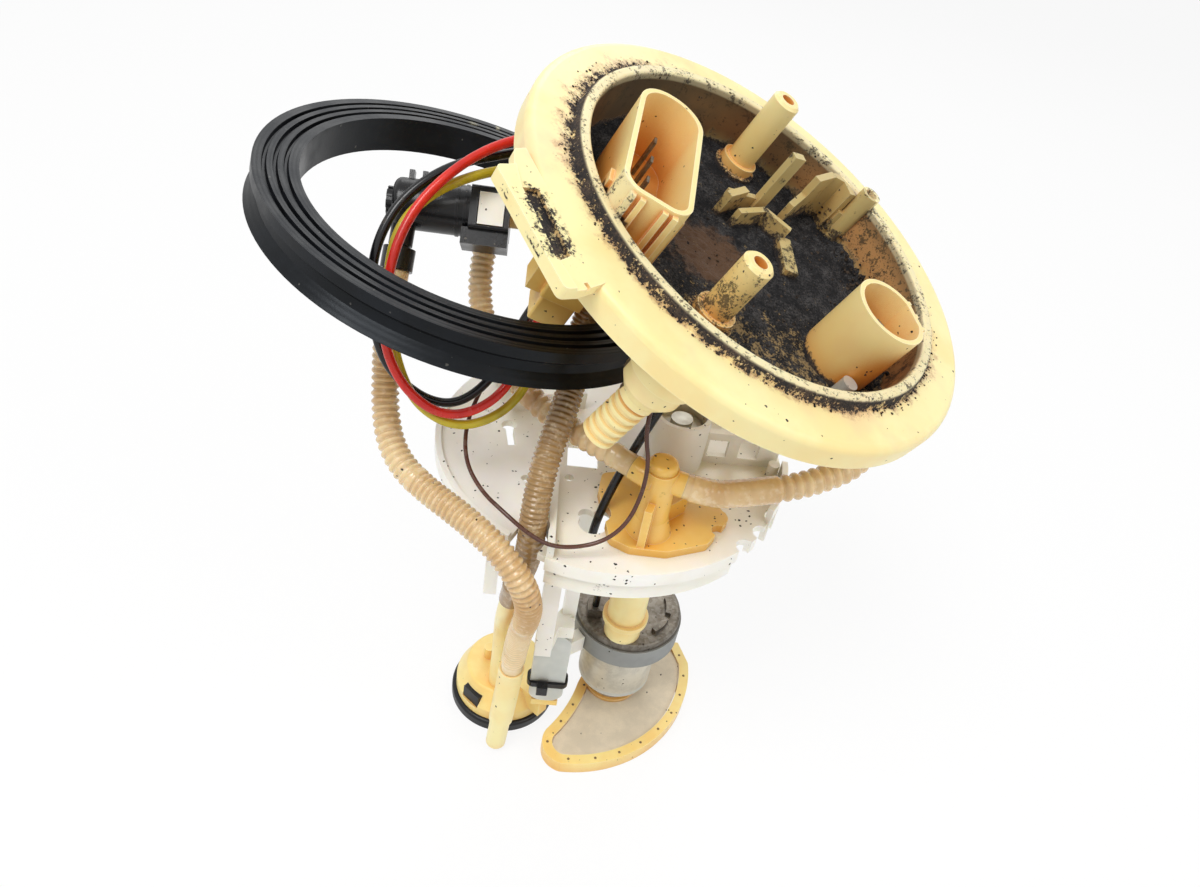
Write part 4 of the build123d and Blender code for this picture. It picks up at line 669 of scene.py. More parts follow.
def soot_layer():
    """Crumbly dirt that lies on the recess floor, wet and brown in the middle, thin on one side."""
    material, w, shader = new_material("recess_soot")
    on = CoverField(w, 200.0, 0.7)
    grains = w.group("Soot grains", Dark=tone(24, 24, 26), Light=tone(86, 84, 84))
    # Wet brown film between the main socket and the low nipple.
    across, along = on.off(WET_SPOT)
    ragged_reach = w.plus(w.reach(w.times(across, 0.8), along), w.times(w.minus(on.ragged, 0.5), 26.0))
    wet = w.step(ragged_reach, 15.0, 8.0)
    colour = w.mix(w.times(wet, 0.7), grains.outputs["Color"], tone(104, 72, 44))
    # Bare plastic shows through on the low nipple's side.
    thin = w.step(on.along, -6.0, -30.0, 0.0, 0.10)
    bare = w.step(w.plus(on.grit, thin), 0.60, 0.66, 0.0, 0.75)
    w.fill(shader, Base_Color=w.mix(bare, colour, tone(168, 142, 98)),
           Roughness=w.step(wet, 0.0, 1.0, 0.95, 0.5), Specular_IOR_Level=0.25)
    bump(w, shader, grains.outputs["Height"], 0.9, 0.0006)
    return material


def loose_crumb():
    """Dull brown-black crumb of dirt."""
    material, w, shader = new_material("soot_crumb")
    colour = w.mix(w.step(w.noise(420.0, 2.0), 0.36, 0.64), tone(26, 25, 26), tone(74, 62, 52))
    dust = w.step(w.noise(2400.0), 0.5, 0.7, 0.0, 0.4)
    w.fill(shader, Base_Color=w.mix(dust, colour, tone(110, 98, 84)), Roughness=0.95, Specular_IOR_Level=0.2)
    return material


def ribbed_hose(name, colour, deep, dirt):
    """Thin ribbed hose plastic that lets some light through, with painted shade that browns its valleys."""
    material, w, shader = new_material(name)
    face = w.group("Moulded face", Grain=0.2, Waviness=0.3)
    tint = face.outputs["Tint"]
    stained = w.mix(w.step(tint, 0.36, 0.66), colour, deep)
    # Painted shade: brown in the valleys between the ribs, where little light comes in.
    stained = w.mix(w.times(w.mask("Hollow", Reach=0.0016), 0.8), stained, tone(150, 106, 62))
    streak = w.step(w.noise(420.0, 3.0, 0.6), 0.5, 0.7)
    stained = w.mix(w.times(streak, 0.3), stained, tone(250, 236, 204))
    specks = w.mask("Dirt specks", Scale=700.0, Size=0.4, Share=dirt)
    w.fill(shader, Base_Color=w.mix(specks, stained, tone(56, 44, 34)),
           Roughness=w.step(tint, 0.3, 0.7, 0.16, 0.32), Coat_Weight=0.35, Coat_Roughness=0.12)
    translucence(w, shader, 0.3, (0.0020, 0.0012, 0.0006), 1.5)
    bump(w, shader, face.outputs["Height"], 0.25, 0.0002)
    return material


def wire_jacket(name, colour, deep):
    """Glossy wire jacket with scuffs."""
    material, w, shader = new_material(name)
    face = w.group("Moulded face", Grain=0.15, Waviness=0.4)
    scuffs = w.mask("Patches", Scale=260.0, Level=0.62, Softness=0.06)
    tinted = w.mix(w.step(face.outputs["Tint"], 0.4, 0.65), colour, deep)
    w.fill(shader, Base_Color=w.mix(w.times(scuffs, 0.15), tinted, tone(120, 104, 86)),
           Roughness=w.step(scuffs, 0.0, 1.0, 0.22, 0.45), IOR=1.46)
    bump(w, shader, face.outputs["Height"], 0.3, 0.00015)
    return material


def seal_rubber():
    """Moulded rubber: fine lines round the ring, dust, and pale residue on its far side."""
    material, w, shader = new_material("seal_rubber")
    lines = w.math("SINE", w.times(w.group("Ring place").outputs["Radius"], 5.2))
    uneven = w.noise(70.0, 4.0, 0.6)
    dust = w.mask("Dirt specks", Scale=800.0, Size=0.4, Share=0.06)
    residue = w.mask("Patches", Scale=150.0, Level=0.62, Softness=0.04)
    far_side = w.step(w.dot(w.place(), (0.25, 1.0, 0.0)), 0.062, 0.072)
    base = w.mix(w.step(uneven, 0.4, 0.65), colours().rubber, tone(20, 22, 26))
    base = w.mix(w.times(dust, 0.45), base, tone(110, 108, 102))
    base = w.mix(w.times(residue, far_side, 0.75), base, tone(196, 190, 160))
    w.fill(shader, Base_Color=base, Roughness=w.step(uneven, 0.3, 0.7, 0.3, 0.46),
           Specular_IOR_Level=0.2, Specular_Tint=(0.86, 0.93, 1.0))
    bump(w, shader, w.plus(w.times(lines, 0.16), w.times(w.noise(1400.0), 0.35)), 0.4, 0.0002)
    return material


def hard_black(name, colour, roughness, dust=0.08):
    """Black moulded plastic or rubber with worn edges and specks of dust."""
    material, w, shader = new_material(name)
    face = w.group("Moulded face", Grain=0.4, Waviness=0.5)
    tint = face.outputs["Tint"]
    specks = w.mask("Dirt specks", Scale=800.0, Size=0.4, Share=dust)
    base = w.mix(w.step(tint, 0.4, 0.65), colour, shade(colour, 1.6))
    base = w.mix(w.times(w.mask("Edge line", Width=0.0005), 0.3), base, tone(70, 72, 76))
    base = w.mix(w.times(specks, 0.5), base, tone(140, 132, 118))
    w.fill(shader, Base_Color=base, Specular_IOR_Level=0.36,
           Roughness=w.step(tint, 0.3, 0.7, roughness - 0.08, roughness + 0.12))
    bump(w, shader, face.outputs["Height"], 0.35, 0.0002)
    return material


def plated_steel(name, colour, roughness, dirt, metallic=1.0):
    """Zinc-plated or bare metal with spangle, stains and specks."""
    material, w, shader = new_material(name)
    cloudy = w.noise(120.0, 5.0, 0.65)
    spangle = w.node("ShaderNodeTexVoronoi", {"feature": "F1"}, Vector=w.place(), Scale=900.0)
    flake = w.node("ShaderNodeSeparateColor", None, Color=spangle.outputs["Color"])
    specks = w.mask("Dirt specks", Scale=700.0, Size=0.42, Share=dirt)
    stains = w.mask("Patches", Scale=140.0, Level=0.62, Softness=0.06)
    base = w.mix(w.step(cloudy, 0.38, 0.66), colour, shade(colour, 0.82))
    base = w.mix(w.times(flake.outputs[0], 0.12), base, tone(232, 230, 224))
    base = w.mix(w.times(stains, 0.25), base, tone(132, 118, 100))
    soiled = w.most(specks, w.times(stains, 0.6))
    w.fill(shader, Base_Color=w.mix(specks, base, tone(52, 42, 34)),
           Metallic=w.step(soiled, 0.0, 1.0, metallic, metallic * 0.3),
           Roughness=w.step(cloudy, 0.3, 0.7, roughness, roughness + 0.16))
    bump(w, shader, w.plus(cloudy, w.times(flake.outputs[1], 0.2)), 0.2, 0.0002)
    return material


THREAD_PITCH = 0.00042


def woven_cloth(name, colour, gaps):
    """Plain weave of nylon threads, crossed at a slant to the strainer's length."""
    material, w, shader = new_material(name)
    place = w.place()
    threads = w.most(*(w.math("SINE", w.times(w.dot(place, direction), FULL_TURN / THREAD_PITCH))
                       for direction in ((0.8, 0.6, 0.0), (-0.6, 0.8, 0.0))))
    cloudy = w.noise(60.0, 5.0, 0.65)
    base = w.mix(w.step(cloudy, 0.36, 0.68), colour, shade(colour, 0.8))
    base = w.mix(w.step(threads, 0.2, 1.0, 0.22, 0.0), base, shade(colour, 0.45))
    specks = w.mask("Dirt specks", Scale=600.0, Size=0.4, Share=0.04)
    w.fill(shader, Base_Color=w.mix(specks, base, tone(70, 54, 40)),
           Roughness=w.step(cloudy, 0.3, 0.7, 0.45, 0.62),
           Alpha=w.step(threads, -0.9, 0.0, 1.0 - gaps * 4, 1.0))
    bump(w, shader, threads, 0.5, 0.00012)
    return material


FINISHES = {}


def make_finishes():
    """One finish for each material slot of the record, and the special ones."""
    c = colours()
    # The third colour given to each soft plastic is painted shade for its hollows; orange and grey are such
    # colours.
    orange, grey = tone(226, 158, 78), tone(120, 112, 98)
    FINISHES.update({
        "cream_plastic": soft_plastic("cream_plastic", c.cream, tone(248, 220, 146), orange, 0.04),
        "white_plastic": soft_plastic("white_plastic", c.white, tone(246, 243, 230), tone(206, 198, 172),
                                      0.14, dirt_scale=800.0, glow=0.2),
        "amber_plastic": soft_plastic("amber_plastic", c.amber, tone(240, 190, 88), tone(210, 138, 50),
                                      0.08, dirt_scale=850.0, roughness=0.22, glow=0.3),
        "grey_plastic": soft_plastic("grey_plastic", c.band, tone(122, 124, 122), grey, 0.04,
                                     roughness=0.46, glow=0.0),
        "pale_plastic": soft_plastic("pale_plastic", tone(226, 228, 222), tone(200, 204, 200), grey, 0.04),
        "golden": soft_plastic("golden_plastic", tone(252, 228, 150), tone(246, 206, 120), orange, 0.03),
        "plug": soft_plastic("plug_gold", tone(240, 208, 122), tone(226, 184, 92), orange, 0.04),
        "rivet": soft_plastic("rivet_brown", tone(132, 106, 60), tone(96, 76, 46), tone(60, 46, 30), 0.02),
        "hose_plastic": ribbed_hose("hose_plastic", c.hose, tone(204, 166, 112), 0.05),
        # The return hose's finish is the hose plastic made darker: painted shade for a hose that hangs low in
        # shadow.
        "aged_hose": ribbed_hose("aged_hose", tone(170, 138, 90), tone(146, 116, 74), 0.07),
        "black_plastic": hard_black("black_plastic", c.black_plastic, 0.26),
        "black_rubber": hard_black("black_rubber", c.rubber, 0.42),
        "wet_rubber": hard_black("wet_rubber", tone(12, 12, 13), 0.16, dust=0.03),
        "red_wire": wire_jacket("red_wire", c.red, tone(190, 30, 24)),
        "yellow_wire": wire_jacket("yellow_wire", c.yellow, tone(166, 146, 30)),
        "black_wire": wire_jacket("black_wire", c.black, tone(10, 10, 12)),
        "brown_wire": wire_jacket("brown_wire", c.brown, tone(66, 38, 30)),
        "grey_metal": plated_steel("grey_metal", c.steel, 0.40, 0.16, 0.55),
        "steel": plated_steel("steel", tone(196, 194, 188), 0.26, 0.05),
        "terminal": plated_steel("tarnished_terminal", tone(104, 90, 70), 0.4, 0.2, 0.6),
        "copper": plated_steel("copper", tone(202, 122, 82), 0.3, 0.05),
        "magnet": plated_steel("magnet", tone(74, 74, 78), 0.5, 0.05, 0.6),
        "cap": plated_steel("pump_cap_metal", tone(104, 96, 84), 0.30, 0.2, 0.7),
        "mesh_fabric": woven_cloth("mesh_fabric", c.cloth, 0.02),
        "cover": soiled_cover(),
        "soot": soot_layer(),
        "crumb": loose_crumb(),
        "seal": seal_rubber(),
    })


# ------------------------------------------------------------------ meshes and lines

def add_object(name, data):
    made = bpy.data.objects.new(name, data)
    bpy.context.scene.collection.objects.link(made)
    return made


def add_mesh(name, points, faces, material, smooth=True):
    mesh = bpy.data.meshes.new(name)
    mesh.from_pydata([tuple(p) for p in points], [], faces)
    mesh.polygons.foreach_set("use_smooth", [smooth] * len(mesh.polygons))
    mesh.materials.append(material)
    mesh.update()
    return add_object(name, mesh)


def ring_faces(first, rings, sides):
    """Faces between neighbouring rings of points, from the first point's number on."""
    faces = []
    for ring in range(rings - 1):
        start = first + ring * sides
        for corner in range(sides):
            here, beside = start + corner, start + (corner + 1) % sides
            faces.append((here, beside, beside + sides, here + sides))
    return faces


def add_line(name, points, width):
    """Open NURBS curve with the given control points; width 0 leaves it bare."""
    curve = bpy.data.curves.new(name, "CURVE")
    curve.dimensions = "3D"
    spline = curve.splines.new("NURBS")
    spline.points.add(len(points) - 1)
    for point, place in zip(spline.points, points):
        point.co = (*place, 1.0)
    spline.order_u = 3
    spline.use_endpoint_u = True
    spline.resolution_u = 16
    curve.bevel_depth = width / 2
    curve.bevel_resolution = 6
    curve.use_fill_caps = True
    return add_object(name, curve)


def line_points(name, points):
    """Points along the NURBS curve of a route, as Blender draws it."""
    bare = add_line(name + "_line", points, 0.0)
    mesh = bpy.data.meshes.new_from_object(bare)
    along = [v.co.copy() for v in mesh.vertices]
    bpy.data.objects.remove(bare)
    bpy.data.meshes.remove(mesh)
    return along


def walk(points, spacing):
    """Points at even distances along a line, with the distance of each, and the line's length."""
    reach = [0.0]
    for before, after in zip(points, points[1:]):
        reach.append(reach[-1] + (after - before).length)
    count = max(2, round(reach[-1] / spacing))
    walked, index = [], 0
    for step in range(count + 1):
        wanted = reach[-1] * step / count
        while index < len(points) - 2 and reach[index + 1] < wanted:
            index += 1
        run = reach[index + 1] - reach[index]
        share = (wanted - reach[index]) / run if run else 0.0
        walked.append((points[index].lerp(points[index + 1], share), wanted))
    return walked, reach[-1]


def tube(name, points, radius_at, spacing, sides, material):
    """Round closed tube along a line, whose radius follows the distance along it."""
    walked, length = walk(points, spacing)
    places = [place for place, _ in walked]
    heading = (places[1] - places[0]).normalized()
    side = heading.orthogonal().normalized()
    rings = []
    for index, (place, distance) in enumerate(walked):
        before, after = places[max(index - 1, 0)], places[min(index + 1, len(places) - 1)]
        turned = (after - before).normalized()
        side = heading.rotation_difference(turned) @ side
        heading = turned
        other = heading.cross(side)
        radius = radius_at(distance, length)
        rings.extend(place + (side * math.cos(angle) + other * math.sin(angle)) * radius
                     for angle in corner_angles(sides))
    faces = ring_faces(0, len(walked), sides)
    faces.append(tuple(range(sides - 1, -1, -1)))
    faces.append(tuple(range(len(rings) - sides, len(rings))))
    return add_mesh(name, rings, faces, material)


# How the ribs rise at the ends of a stretch, how narrow their valleys are, and how far a smooth part sinks.
RIB_FADE = 0.002
RIB_SHARPNESS = 0.7
SMOOTH_SINK = 0.35


def rib_profile(radius, depth, stretches):
    """Radius along a ribbed hose. Stretches are (start, end, pitch, share of the rib depth), in metres.

    A start below 0 and an end of 0 or less count from the hose's far end. Between the stretches it is smooth.
    """
    def radius_at(distance, length):
        for start, end, pitch, share in stretches:
            start = start if start >= 0 else length + start
            end = end if end > 0 else length + end
            if start <= distance <= end:
                fade = min(1.0, (distance - start) / RIB_FADE, (end - distance) / RIB_FADE)
                phase = (distance - start) / pitch
                wave = 0.5 - 0.5 * math.cos(FULL_TURN * phase)
                return radius - depth * share * fade * (1 - wave ** RIB_SHARPNESS)
        return radius - depth * SMOOTH_SINK
    return radius_at


def dress(data, finish):
    """Gives a mesh or line its finish."""
    data.materials.clear()
    data.materials.append(FINISHES[finish])


def settle(piece, stands_for=None):
    """Fixes a piece to the module's body, and hides the node it stands in for."""
    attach(piece, ROOT)
    if stands_for:
        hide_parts(stands_for)


# ------------------------------------------------------------------ operators

def make_camera(scene):
    data = bpy.data.cameras.new("camera")
    data.lens, data.sensor_width = CAMERA_LENS, SENSOR_WIDTH
    data.clip_start, data.clip_end = 0.01, 50.0
    camera = add_object("camera", data)
    back = CAMERA_RIGHT.cross(CAMERA_UP)
    turn = Matrix((CAMERA_RIGHT, CAMERA_UP, back)).transposed().to_4x4()
    camera.matrix_world = Matrix.Translation(CAMERA_AT) @ turn
    scene.camera = camera


def seen_directly(w):
    """1 where the camera sees a surface itself, or in a mirror or through glass."""
    path = w.node("ShaderNodeLightPath").outputs
    return w.most(path["Is Camera Ray"], path["Is Glossy Ray"], path["Is Transmission Ray"])


def make_floor():
    """Pale floor that looks nearly white and still takes soft shadows."""
    material, w, shader = new_material("floor")
    w.fill(shader, Base_Color=w.mix(w.noise(2.5), (0.9, 0.9, 0.9), (0.93, 0.93, 0.93)), Roughness=0.9)
    glow = w.node("ShaderNodeEmission", None, Color=WHITE, Strength=1.0)
    both = w.node("ShaderNodeMixShader", None, i0=w.times(seen_directly(w), 0.86))
    w.tree.links.new(shader.outputs[0], both.inputs[1])
    w.tree.links.new(glow.outputs[0], both.inputs[2])
    out = next(n for n in w.tree.nodes if n.type == "OUTPUT_MATERIAL")
    w.tree.links.new(both.outputs[0], out.inputs["Surface"])
    edge = [(*around(FLOOR_RADIUS, angle), 0.0) for angle in corner_angles(FLOOR_SIDES)]
    faces = [(0, corner + 1, (corner + 1) % FLOOR_SIDES + 1) for corner in range(FLOOR_SIDES)]
    floor = add_mesh("floor", [(0.0, 0.0, 0.0), *edge], faces, material, smooth=False)
    floor.location.z = -FLOOR_DROP


def make_lamp(name, place, aim, size, power):
    data = bpy.data.lights.new(name, "AREA")
    data.shape = "DISK"
    data.size, data.energy = size, power
    lamp = add_object(name, data)
    lamp.location = place
    lamp.rotation_euler = (Vector(aim) - Vector(place)).to_track_quat("-Z", "Y").to_euler()


def make_surroundings(scene):
    """White where they are seen, and dimmer as light."""
    world = bpy.data.worlds.new("pale_room")
    world.use_nodes = True
    scene.world = world
    w = Wiring(world.node_tree)
    w.tree.nodes.clear()
    level = w.step(seen_directly(w), 0.0, 1.0, 0.52, 1.0)
    sky = w.node("ShaderNodeBackground", None, Color=WHITE, Strength=level)
    out = w.node("ShaderNodeOutputWorld")
    w.tree.links.new(sky.outputs[0], out.inputs["Surface"])


class PUMPMODULE_OT_stage(bpy.types.Operator):
    """Makes the floor, the soft lamps, the pale surroundings and the camera"""
    bl_idname = "pumpmodule.stage"
    bl_label = "Stage and camera"

    def execute(self, context):
        scene = context.scene
        scene.view_settings.view_transform = "Standard"
        make_camera(scene)
        make_floor()
        for lamp in LAMPS:
            make_lamp(*lamp)
        make_surroundings(scene)
        return {"FINISHED"}


# Distance between the rings of points that a hose is made of.
HOSE_STEP = 0.0003


class PUMPMODULE_OT_hoses(bpy.types.Operator):
    """Makes the four ribbed hoses along their routes"""
    bl_idname = "pumpmodule.hoses"
    bl_label = "Ribbed hoses"

    def execute(self, context):
        s = sizes()
        for name, route, width, length, finish, stretches in (
                ("jet", HOSE_JET, s.hose_width, 0.195, "hose_plastic",
                 [(0.004, 0.070, 0.0024, 1.0), (0.070, 0.150, 0.0020, 0.9), (0.150, -0.006, 0.0018, 0.35)]),
                # The return hose takes the darker finish, which is painted shade for its place low in shadow.
                ("return", HOSE_RETURN, s.hose_width, 0.131, "aged_hose",
                 [(0.006, 0.085, 0.0016, 0.7), (0.085, -0.010, 0.0021, 0.4)]),
                ("supply", HOSE_SUPPLY, s.supply_width, 0.138, "hose_plastic",
                 [(0.006, 0.096, 0.0022, 0.8), (0.096, -0.006, 0.0033, 0.75)]),
                ("feed", HOSE_FEED, s.feed_width, 0.092, "hose_plastic",
                 [(0.002, 0.026, 0.0019, 0.12), (0.026, -0.004, 0.0032, 1.0)])):
            path = line_points("hose_" + name, route)
            body = tube("ribbed_hose_" + name, path, rib_profile(width / 2, s.rib_depth, stretches),
                        HOSE_STEP, s.hose_sides, FINISHES[finish])
            settle(body, "hose_" + name)
        return {"FINISHED"}


class PUMPMODULE_OT_wires(bpy.types.Operator):
    """Makes the five insulated wires"""
    bl_idname = "pumpmodule.wires"
    bl_label = "Wires"

    def execute(self, context):
        s = sizes()
        for name, route, width, length, slot in (
                ("red", WIRE_RED, s.wire_width, 0.363, "red_wire"),
                ("yellow", WIRE_YELLOW, s.wire_width, 0.277, "yellow_wire"),
                ("black", WIRE_BLACK, s.wire_width, 0.358, "black_wire"),
                ("brown", WIRE_BROWN, s.thin_wire_width, 0.184, "brown_wire"),
                ("lead", WIRE_LEAD, s.wire_width, 0.165, "black_wire")):
            wire = add_line("jacket_" + name, route, width)
            dress(wire.data, slot)
            settle(wire, "wire_" + name)
        return {"FINISHED"}


SPECIAL_FINISHES = {
    "cover": "cover", "seal_ring": "seal", "pump_cap": "cap", "main_pins": "terminal",
    "small_pins": "terminal", "inner_plug": "plug", "strainer_frame": "golden", "foot_dome": "golden",
    "barb_sleeve": "wet_rubber",
}


class PUMPMODULE_OT_finishes(bpy.types.Operator):
    """Gives every moulded and metal piece its finish"""
    bl_idname = "pumpmodule.finishes"
    bl_label = "Finishes"

    def execute(self, context):
        for part in frame["record"]["subparts"]:
            node = part["node"]
            dress(NODES[node].data, SPECIAL_FINISHES.get(node, part["material_slot"]))
        return {"FINISHED"}


SOOT_RINGS = 84
SOOT_SIDES = 300
LEAST_SOOT = 0.05


def soot_height(radius, angle, depth):
    """Height of the dirt over the recess floor, which banks up by the wall on the low side."""
    spot = Vector((*around(radius, angle), 0.0))
    rough = noise.fractal(spot * 0.11, 0.9, 2.2, 4)
    crumbs = noise.fractal(spot * 0.55, 0.8, 2.1, 4)
    height = depth * (1.0 + 0.9 * rough + 0.7 * crumbs)
    by_wall = max(0.0, (radius - (RECESS_RADIUS - 10.0)) / 10.0) ** 2
    low_side = max(0.0, math.cos(angle + 0.05)) ** 2
    return max(LEAST_SOOT, height + by_wall * (0.5 + 3.6 * low_side) * (0.7 + 0.8 * crumbs))


class PUMPMODULE_OT_soot(bpy.types.Operator):
    """Lays crumbly dirt on the recess floor"""
    bl_idname = "pumpmodule.soot"
    bl_label = "Recess dirt"

    def execute(self, context):
        depth = sizes().soot_depth * PER_METRE
        points = [on_cover(0, 0, FLOOR_HEIGHT + depth)]
        for ring in range(1, SOOT_RINGS + 1):
            radius = RECESS_RADIUS * ring / SOOT_RINGS
            points.extend(on_cover(*around(radius, angle), FLOOR_HEIGHT + soot_height(radius, angle, depth))
                          for angle in corner_angles(SOOT_SIDES))
        faces = [(0, 1 + corner, 1 + (corner + 1) % SOOT_SIDES) for corner in range(SOOT_SIDES)]
        # The rings grow outwards here, so their faces are turned over to look up.
        faces.extend((a, d, c, b) for a, b, c, d in ring_faces(1, SOOT_RINGS, SOOT_SIDES))
        settle(add_mesh("recess_soot", points, faces, FINISHES["soot"]))
        return {"FINISHED"}


GOLDEN = (1 + math.sqrt(5)) / 2
CRUMB_CORNERS = [Vector(c).normalized() for c in (
    (-1, GOLDEN, 0), (1, GOLDEN, 0), (-1, -GOLDEN, 0), (1, -GOLDEN, 0),
    (0, -1, GOLDEN), (0, 1, GOLDEN), (0, -1, -GOLDEN), (0, 1, -GOLDEN),
    (GOLDEN, 0, -1), (GOLDEN, 0, 1), (-GOLDEN, 0, -1), (-GOLDEN, 0, 1))]
CRUMB_SIDES = (
    (0, 11, 5), (0, 5, 1), (0, 1, 7), (0, 7, 10), (0, 10, 11), (1, 5, 9), (5, 11, 4), (11, 10, 2),
    (10, 7, 6), (7, 1, 8), (3, 9, 4), (3, 4, 2), (3, 2, 6), (3, 6, 8), (3, 8, 9), (4, 9, 5),
    (2, 4, 11), (6, 2, 10), (8, 6, 7), (9, 8, 1))
CRUMB_SEED = 11
FLOOR_CRUMBS = 900
BANK_CRUMBS = 420
RIM_CRUMBS = 700


def crumb_places(chance):
    """Places and radii of loose crumbs, in millimetres of the cover's frame."""
    places = []
    for _ in range(FLOOR_CRUMBS):
        radius, angle = (RECESS_RADIUS - 0.6) * math.sqrt(chance.random()), chance.uniform(0, FULL_TURN)
        size = 0.2 + 0.6 * chance.random() ** 4
        places.append((*around(radius, angle), FLOOR_HEIGHT + 0.5, size))
    for _ in range(BANK_CRUMBS):
        angle = chance.gauss(0.15, 0.45)
        up = chance.random() ** 2.2
        radius = RECESS_RADIUS - 6.0 + 6.0 * math.sqrt(up) + chance.uniform(-1.5, 0.0)
        size = 0.25 + 0.75 * chance.random() ** 3
        places.append((*around(radius, angle), FLOOR_HEIGHT + 0.6 + 6.5 * up, size))
    for _ in range(RIM_CRUMBS):
        angle = chance.choice((chance.gauss(2.5, 0.75), chance.gauss(0.1, 0.5), chance.uniform(0, FULL_TURN)))
        spread = 1.2 + 2.4 * max(0.0, math.cos(angle - 2.6)) + 1.6 * max(0.0, math.cos(angle))
        radius = NECK_RADIUS + 0.2 + abs(chance.gauss(0.0, 0.55)) * spread
        size = 0.12 + 0.42 * chance.random() ** 3
        places.append((*around(radius, angle), 0.08, size))
    return places


class PUMPMODULE_OT_crumbs(bpy.types.Operator):
    """Scatters loose crumbs of dirt over the recess floor and round the lip"""
    bl_idname = "pumpmodule.crumbs"
    bl_label = "Loose crumbs"

    def execute(self, context):
        chance = random.Random(CRUMB_SEED)
        points, faces = [], []
        for across, along, height, radius in crumb_places(chance):
            first = len(points)
            flat = chance.uniform(0.5, 0.9)
            for corner in CRUMB_CORNERS:
                reach = radius * chance.uniform(0.6, 1.15)
                points.append(on_cover(across + corner.x * reach, along + corner.y * reach,
                                       height + corner.z * reach * flat))
            faces.extend(tuple(first + c for c in side) for side in CRUMB_SIDES)
        crumbs = add_mesh("soot_crumbs", points, faces, FINISHES["crumb"], smooth=False)
        settle(crumbs)
        return {"FINISHED"}


def loop_round(mesh):
    """Longest open edge of a mesh, as its points in order."""
    shape = bmesh.new()
    shape.from_mesh(mesh)
    # A list, and not a set, so that a loop starts at the same edge in each run.
    left = [e for e in shape.edges if e.is_boundary]
    loops = []
    while left:
        edge = left.pop(0)
        chain = [edge.verts[0], edge.verts[1]]
        while True:
            following = next((e for e in chain[-1].link_edges if e in left), None)
            if following is None:
                break
            left.remove(following)
            chain.append(following.other_vert(chain[-1]))
        loops.append([v.co.copy() for v in chain])
    shape.free()
    return max(loops, key=lambda loop: sum((b - a).length for a, b in zip(loop, loop[1:])))


RIVET_SPACING = 0.0100
RIVET_INSET = 0.0023
RIVET_CORNERS = 12
# Rings of a rivet from its foot to its top: share of its radius, and height over the frame.
RIVET_RINGS = ((1.0, -0.0001), (0.95, 0.00012), (0.6, 0.00026))


def rivet_row(cloth, top, width):
    """Small dark rivets on the frame, outside the cloth's edge."""
    walked, _ = walk(loop_round(cloth), RIVET_SPACING)
    places = [place for place, _ in walked[:-1]]
    turn = sum(a.x * b.y - b.x * a.y for a, b in zip(places, places[1:] + places[:1]))
    points, faces = [], []
    for index, place in enumerate(places):
        heading = (places[(index + 1) % len(places)] - places[index - 1]).normalized()
        out = Vector((heading.y, -heading.x, 0.0)) * (1 if turn > 0 else -1)
        centre = Vector((place.x, place.y, top)) + out * RIVET_INSET
        first = len(points)
        for share, height in RIVET_RINGS:
            points.extend(centre + Vector((math.cos(angle), math.sin(angle), 0.0)) * width / 2 * share
                          + Vector((0.0, 0.0, height)) for angle in corner_angles(RIVET_CORNERS))
        faces.extend(ring_faces(first, len(RIVET_RINGS), RIVET_CORNERS))
        faces.append(tuple(range(len(points) - RIVET_CORNERS, len(points))))
    return add_mesh("strainer_rivets", points, faces, FINISHES["rivet"])


# Faces whose normals rise more steeply than this make up the cloth.
UPWARD = 0.9
WELD_DISTANCE = 1e-6


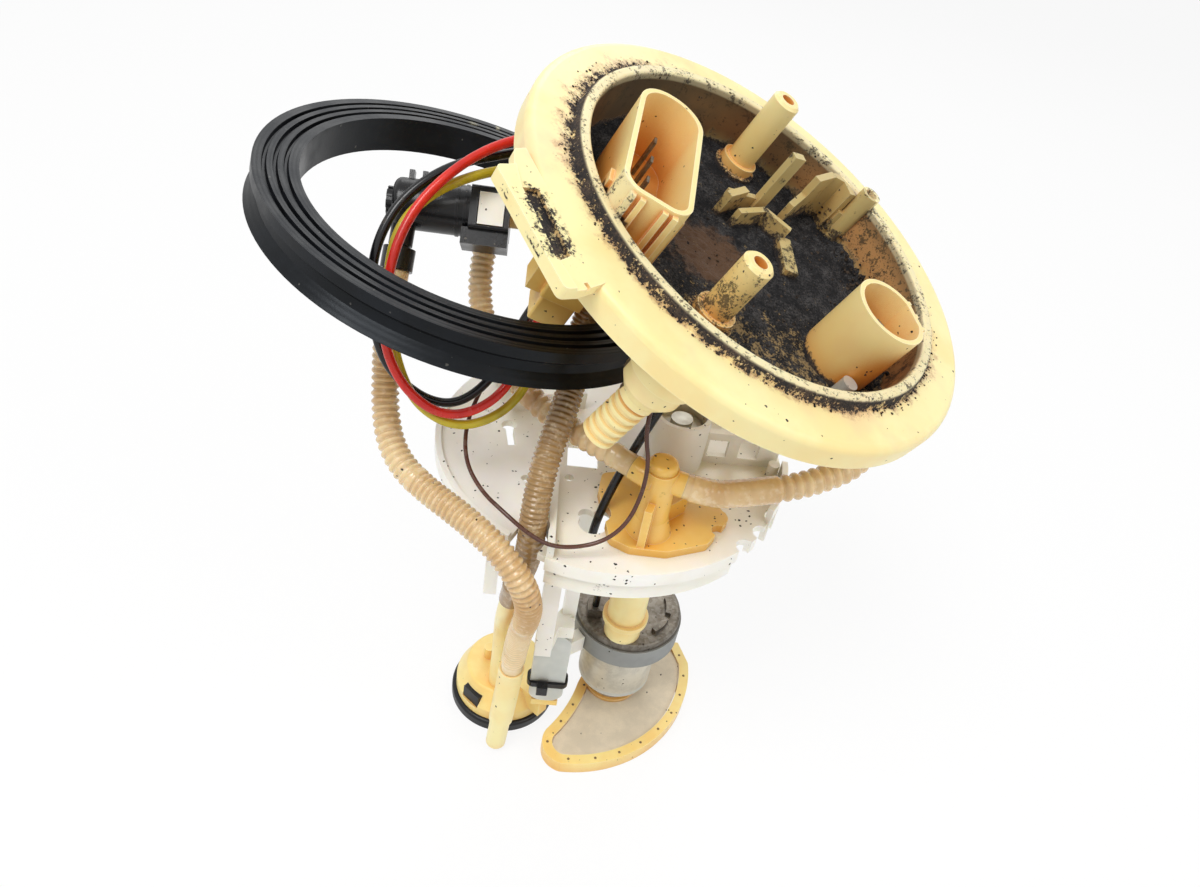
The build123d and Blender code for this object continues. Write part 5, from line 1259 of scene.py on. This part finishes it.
class PUMPMODULE_OT_strainer(bpy.types.Operator):
    """Stretches the woven cloth over the strainer frame and rivets its edge"""
    bl_idname = "pumpmodule.strainer"
    bl_label = "Strainer cloth"

    def execute(self, context):
        shape = bmesh.new()
        shape.from_mesh(NODES["strainer_mesh"].data)
        bmesh.ops.delete(shape, geom=[f for f in shape.faces if f.normal.z < UPWARD], context="FACES")
        bmesh.ops.remove_doubles(shape, verts=shape.verts, dist=WELD_DISTANCE)
        cloth = bpy.data.meshes.new("strainer_cloth")
        shape.to_mesh(cloth)
        area = sum(f.calc_area() for f in shape.faces)
        shape.free()
        dress(cloth, "mesh_fabric")
        piece = add_object("strainer_cloth", cloth)
        settle(piece, "strainer_mesh")
        rivets = rivet_row(cloth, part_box("strainer_frame")[1].z, sizes().rivet_width)
        settle(rivets)
        return {"FINISHED"}


class PUMPMODULE_OT_spring(bpy.types.Operator):
    """Makes the check valve's spring from a copy of the valve spring's mesh"""
    bl_idname = "pumpmodule.spring"
    bl_label = "Valve spring"

    def execute(self, context):
        coil = add_object("coil_spring", NODES["valve_spring"].data.copy())
        dress(coil.data, "steel")
        settle(coil, "valve_spring")
        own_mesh(coil)
        return {"FINISHED"}


class PUMPMODULE_PT_panel(bpy.types.Panel):
    """Buttons and settings of the pump module"""
    bl_idname = "PUMPMODULE_PT_panel"
    bl_label = "Pump module"
    bl_space_type = "VIEW_3D"
    bl_region_type = "UI"
    bl_category = "Pump module"

    def draw(self, context):
        for operator in STEPS:
            self.layout.operator(operator.bl_idname)
        for group in (context.scene.pump_module_sizes, context.scene.pump_module_colours):
            box = self.layout.box()
            for name in group.bl_rna.properties.keys():
                if name not in ("rna_type", "name"):
                    box.prop(group, name)


STEPS = (
    PUMPMODULE_OT_stage,
    PUMPMODULE_OT_hoses,
    PUMPMODULE_OT_wires,
    PUMPMODULE_OT_finishes,
    PUMPMODULE_OT_soot,
    PUMPMODULE_OT_crumbs,
    PUMPMODULE_OT_strainer,
    PUMPMODULE_OT_spring,
)
CLASSES = (ModuleSizes, ModuleColours, *STEPS, PUMPMODULE_PT_panel)


def register():
    for one in CLASSES:
        bpy.utils.register_class(one)
    bpy.types.Scene.pump_module_sizes = PointerProperty(type=ModuleSizes)
    bpy.types.Scene.pump_module_colours = PointerProperty(type=ModuleColours)


def unregister():
    del bpy.types.Scene.pump_module_colours
    del bpy.types.Scene.pump_module_sizes
    for one in reversed(CLASSES):
        bpy.utils.unregister_class(one)


def main():
    register()
    make_effects()
    make_finishes()
    for operator in STEPS:
        getattr(bpy.ops.pumpmodule, operator.bl_idname.split(".")[1])()


if __name__ == "__main__":
    main()
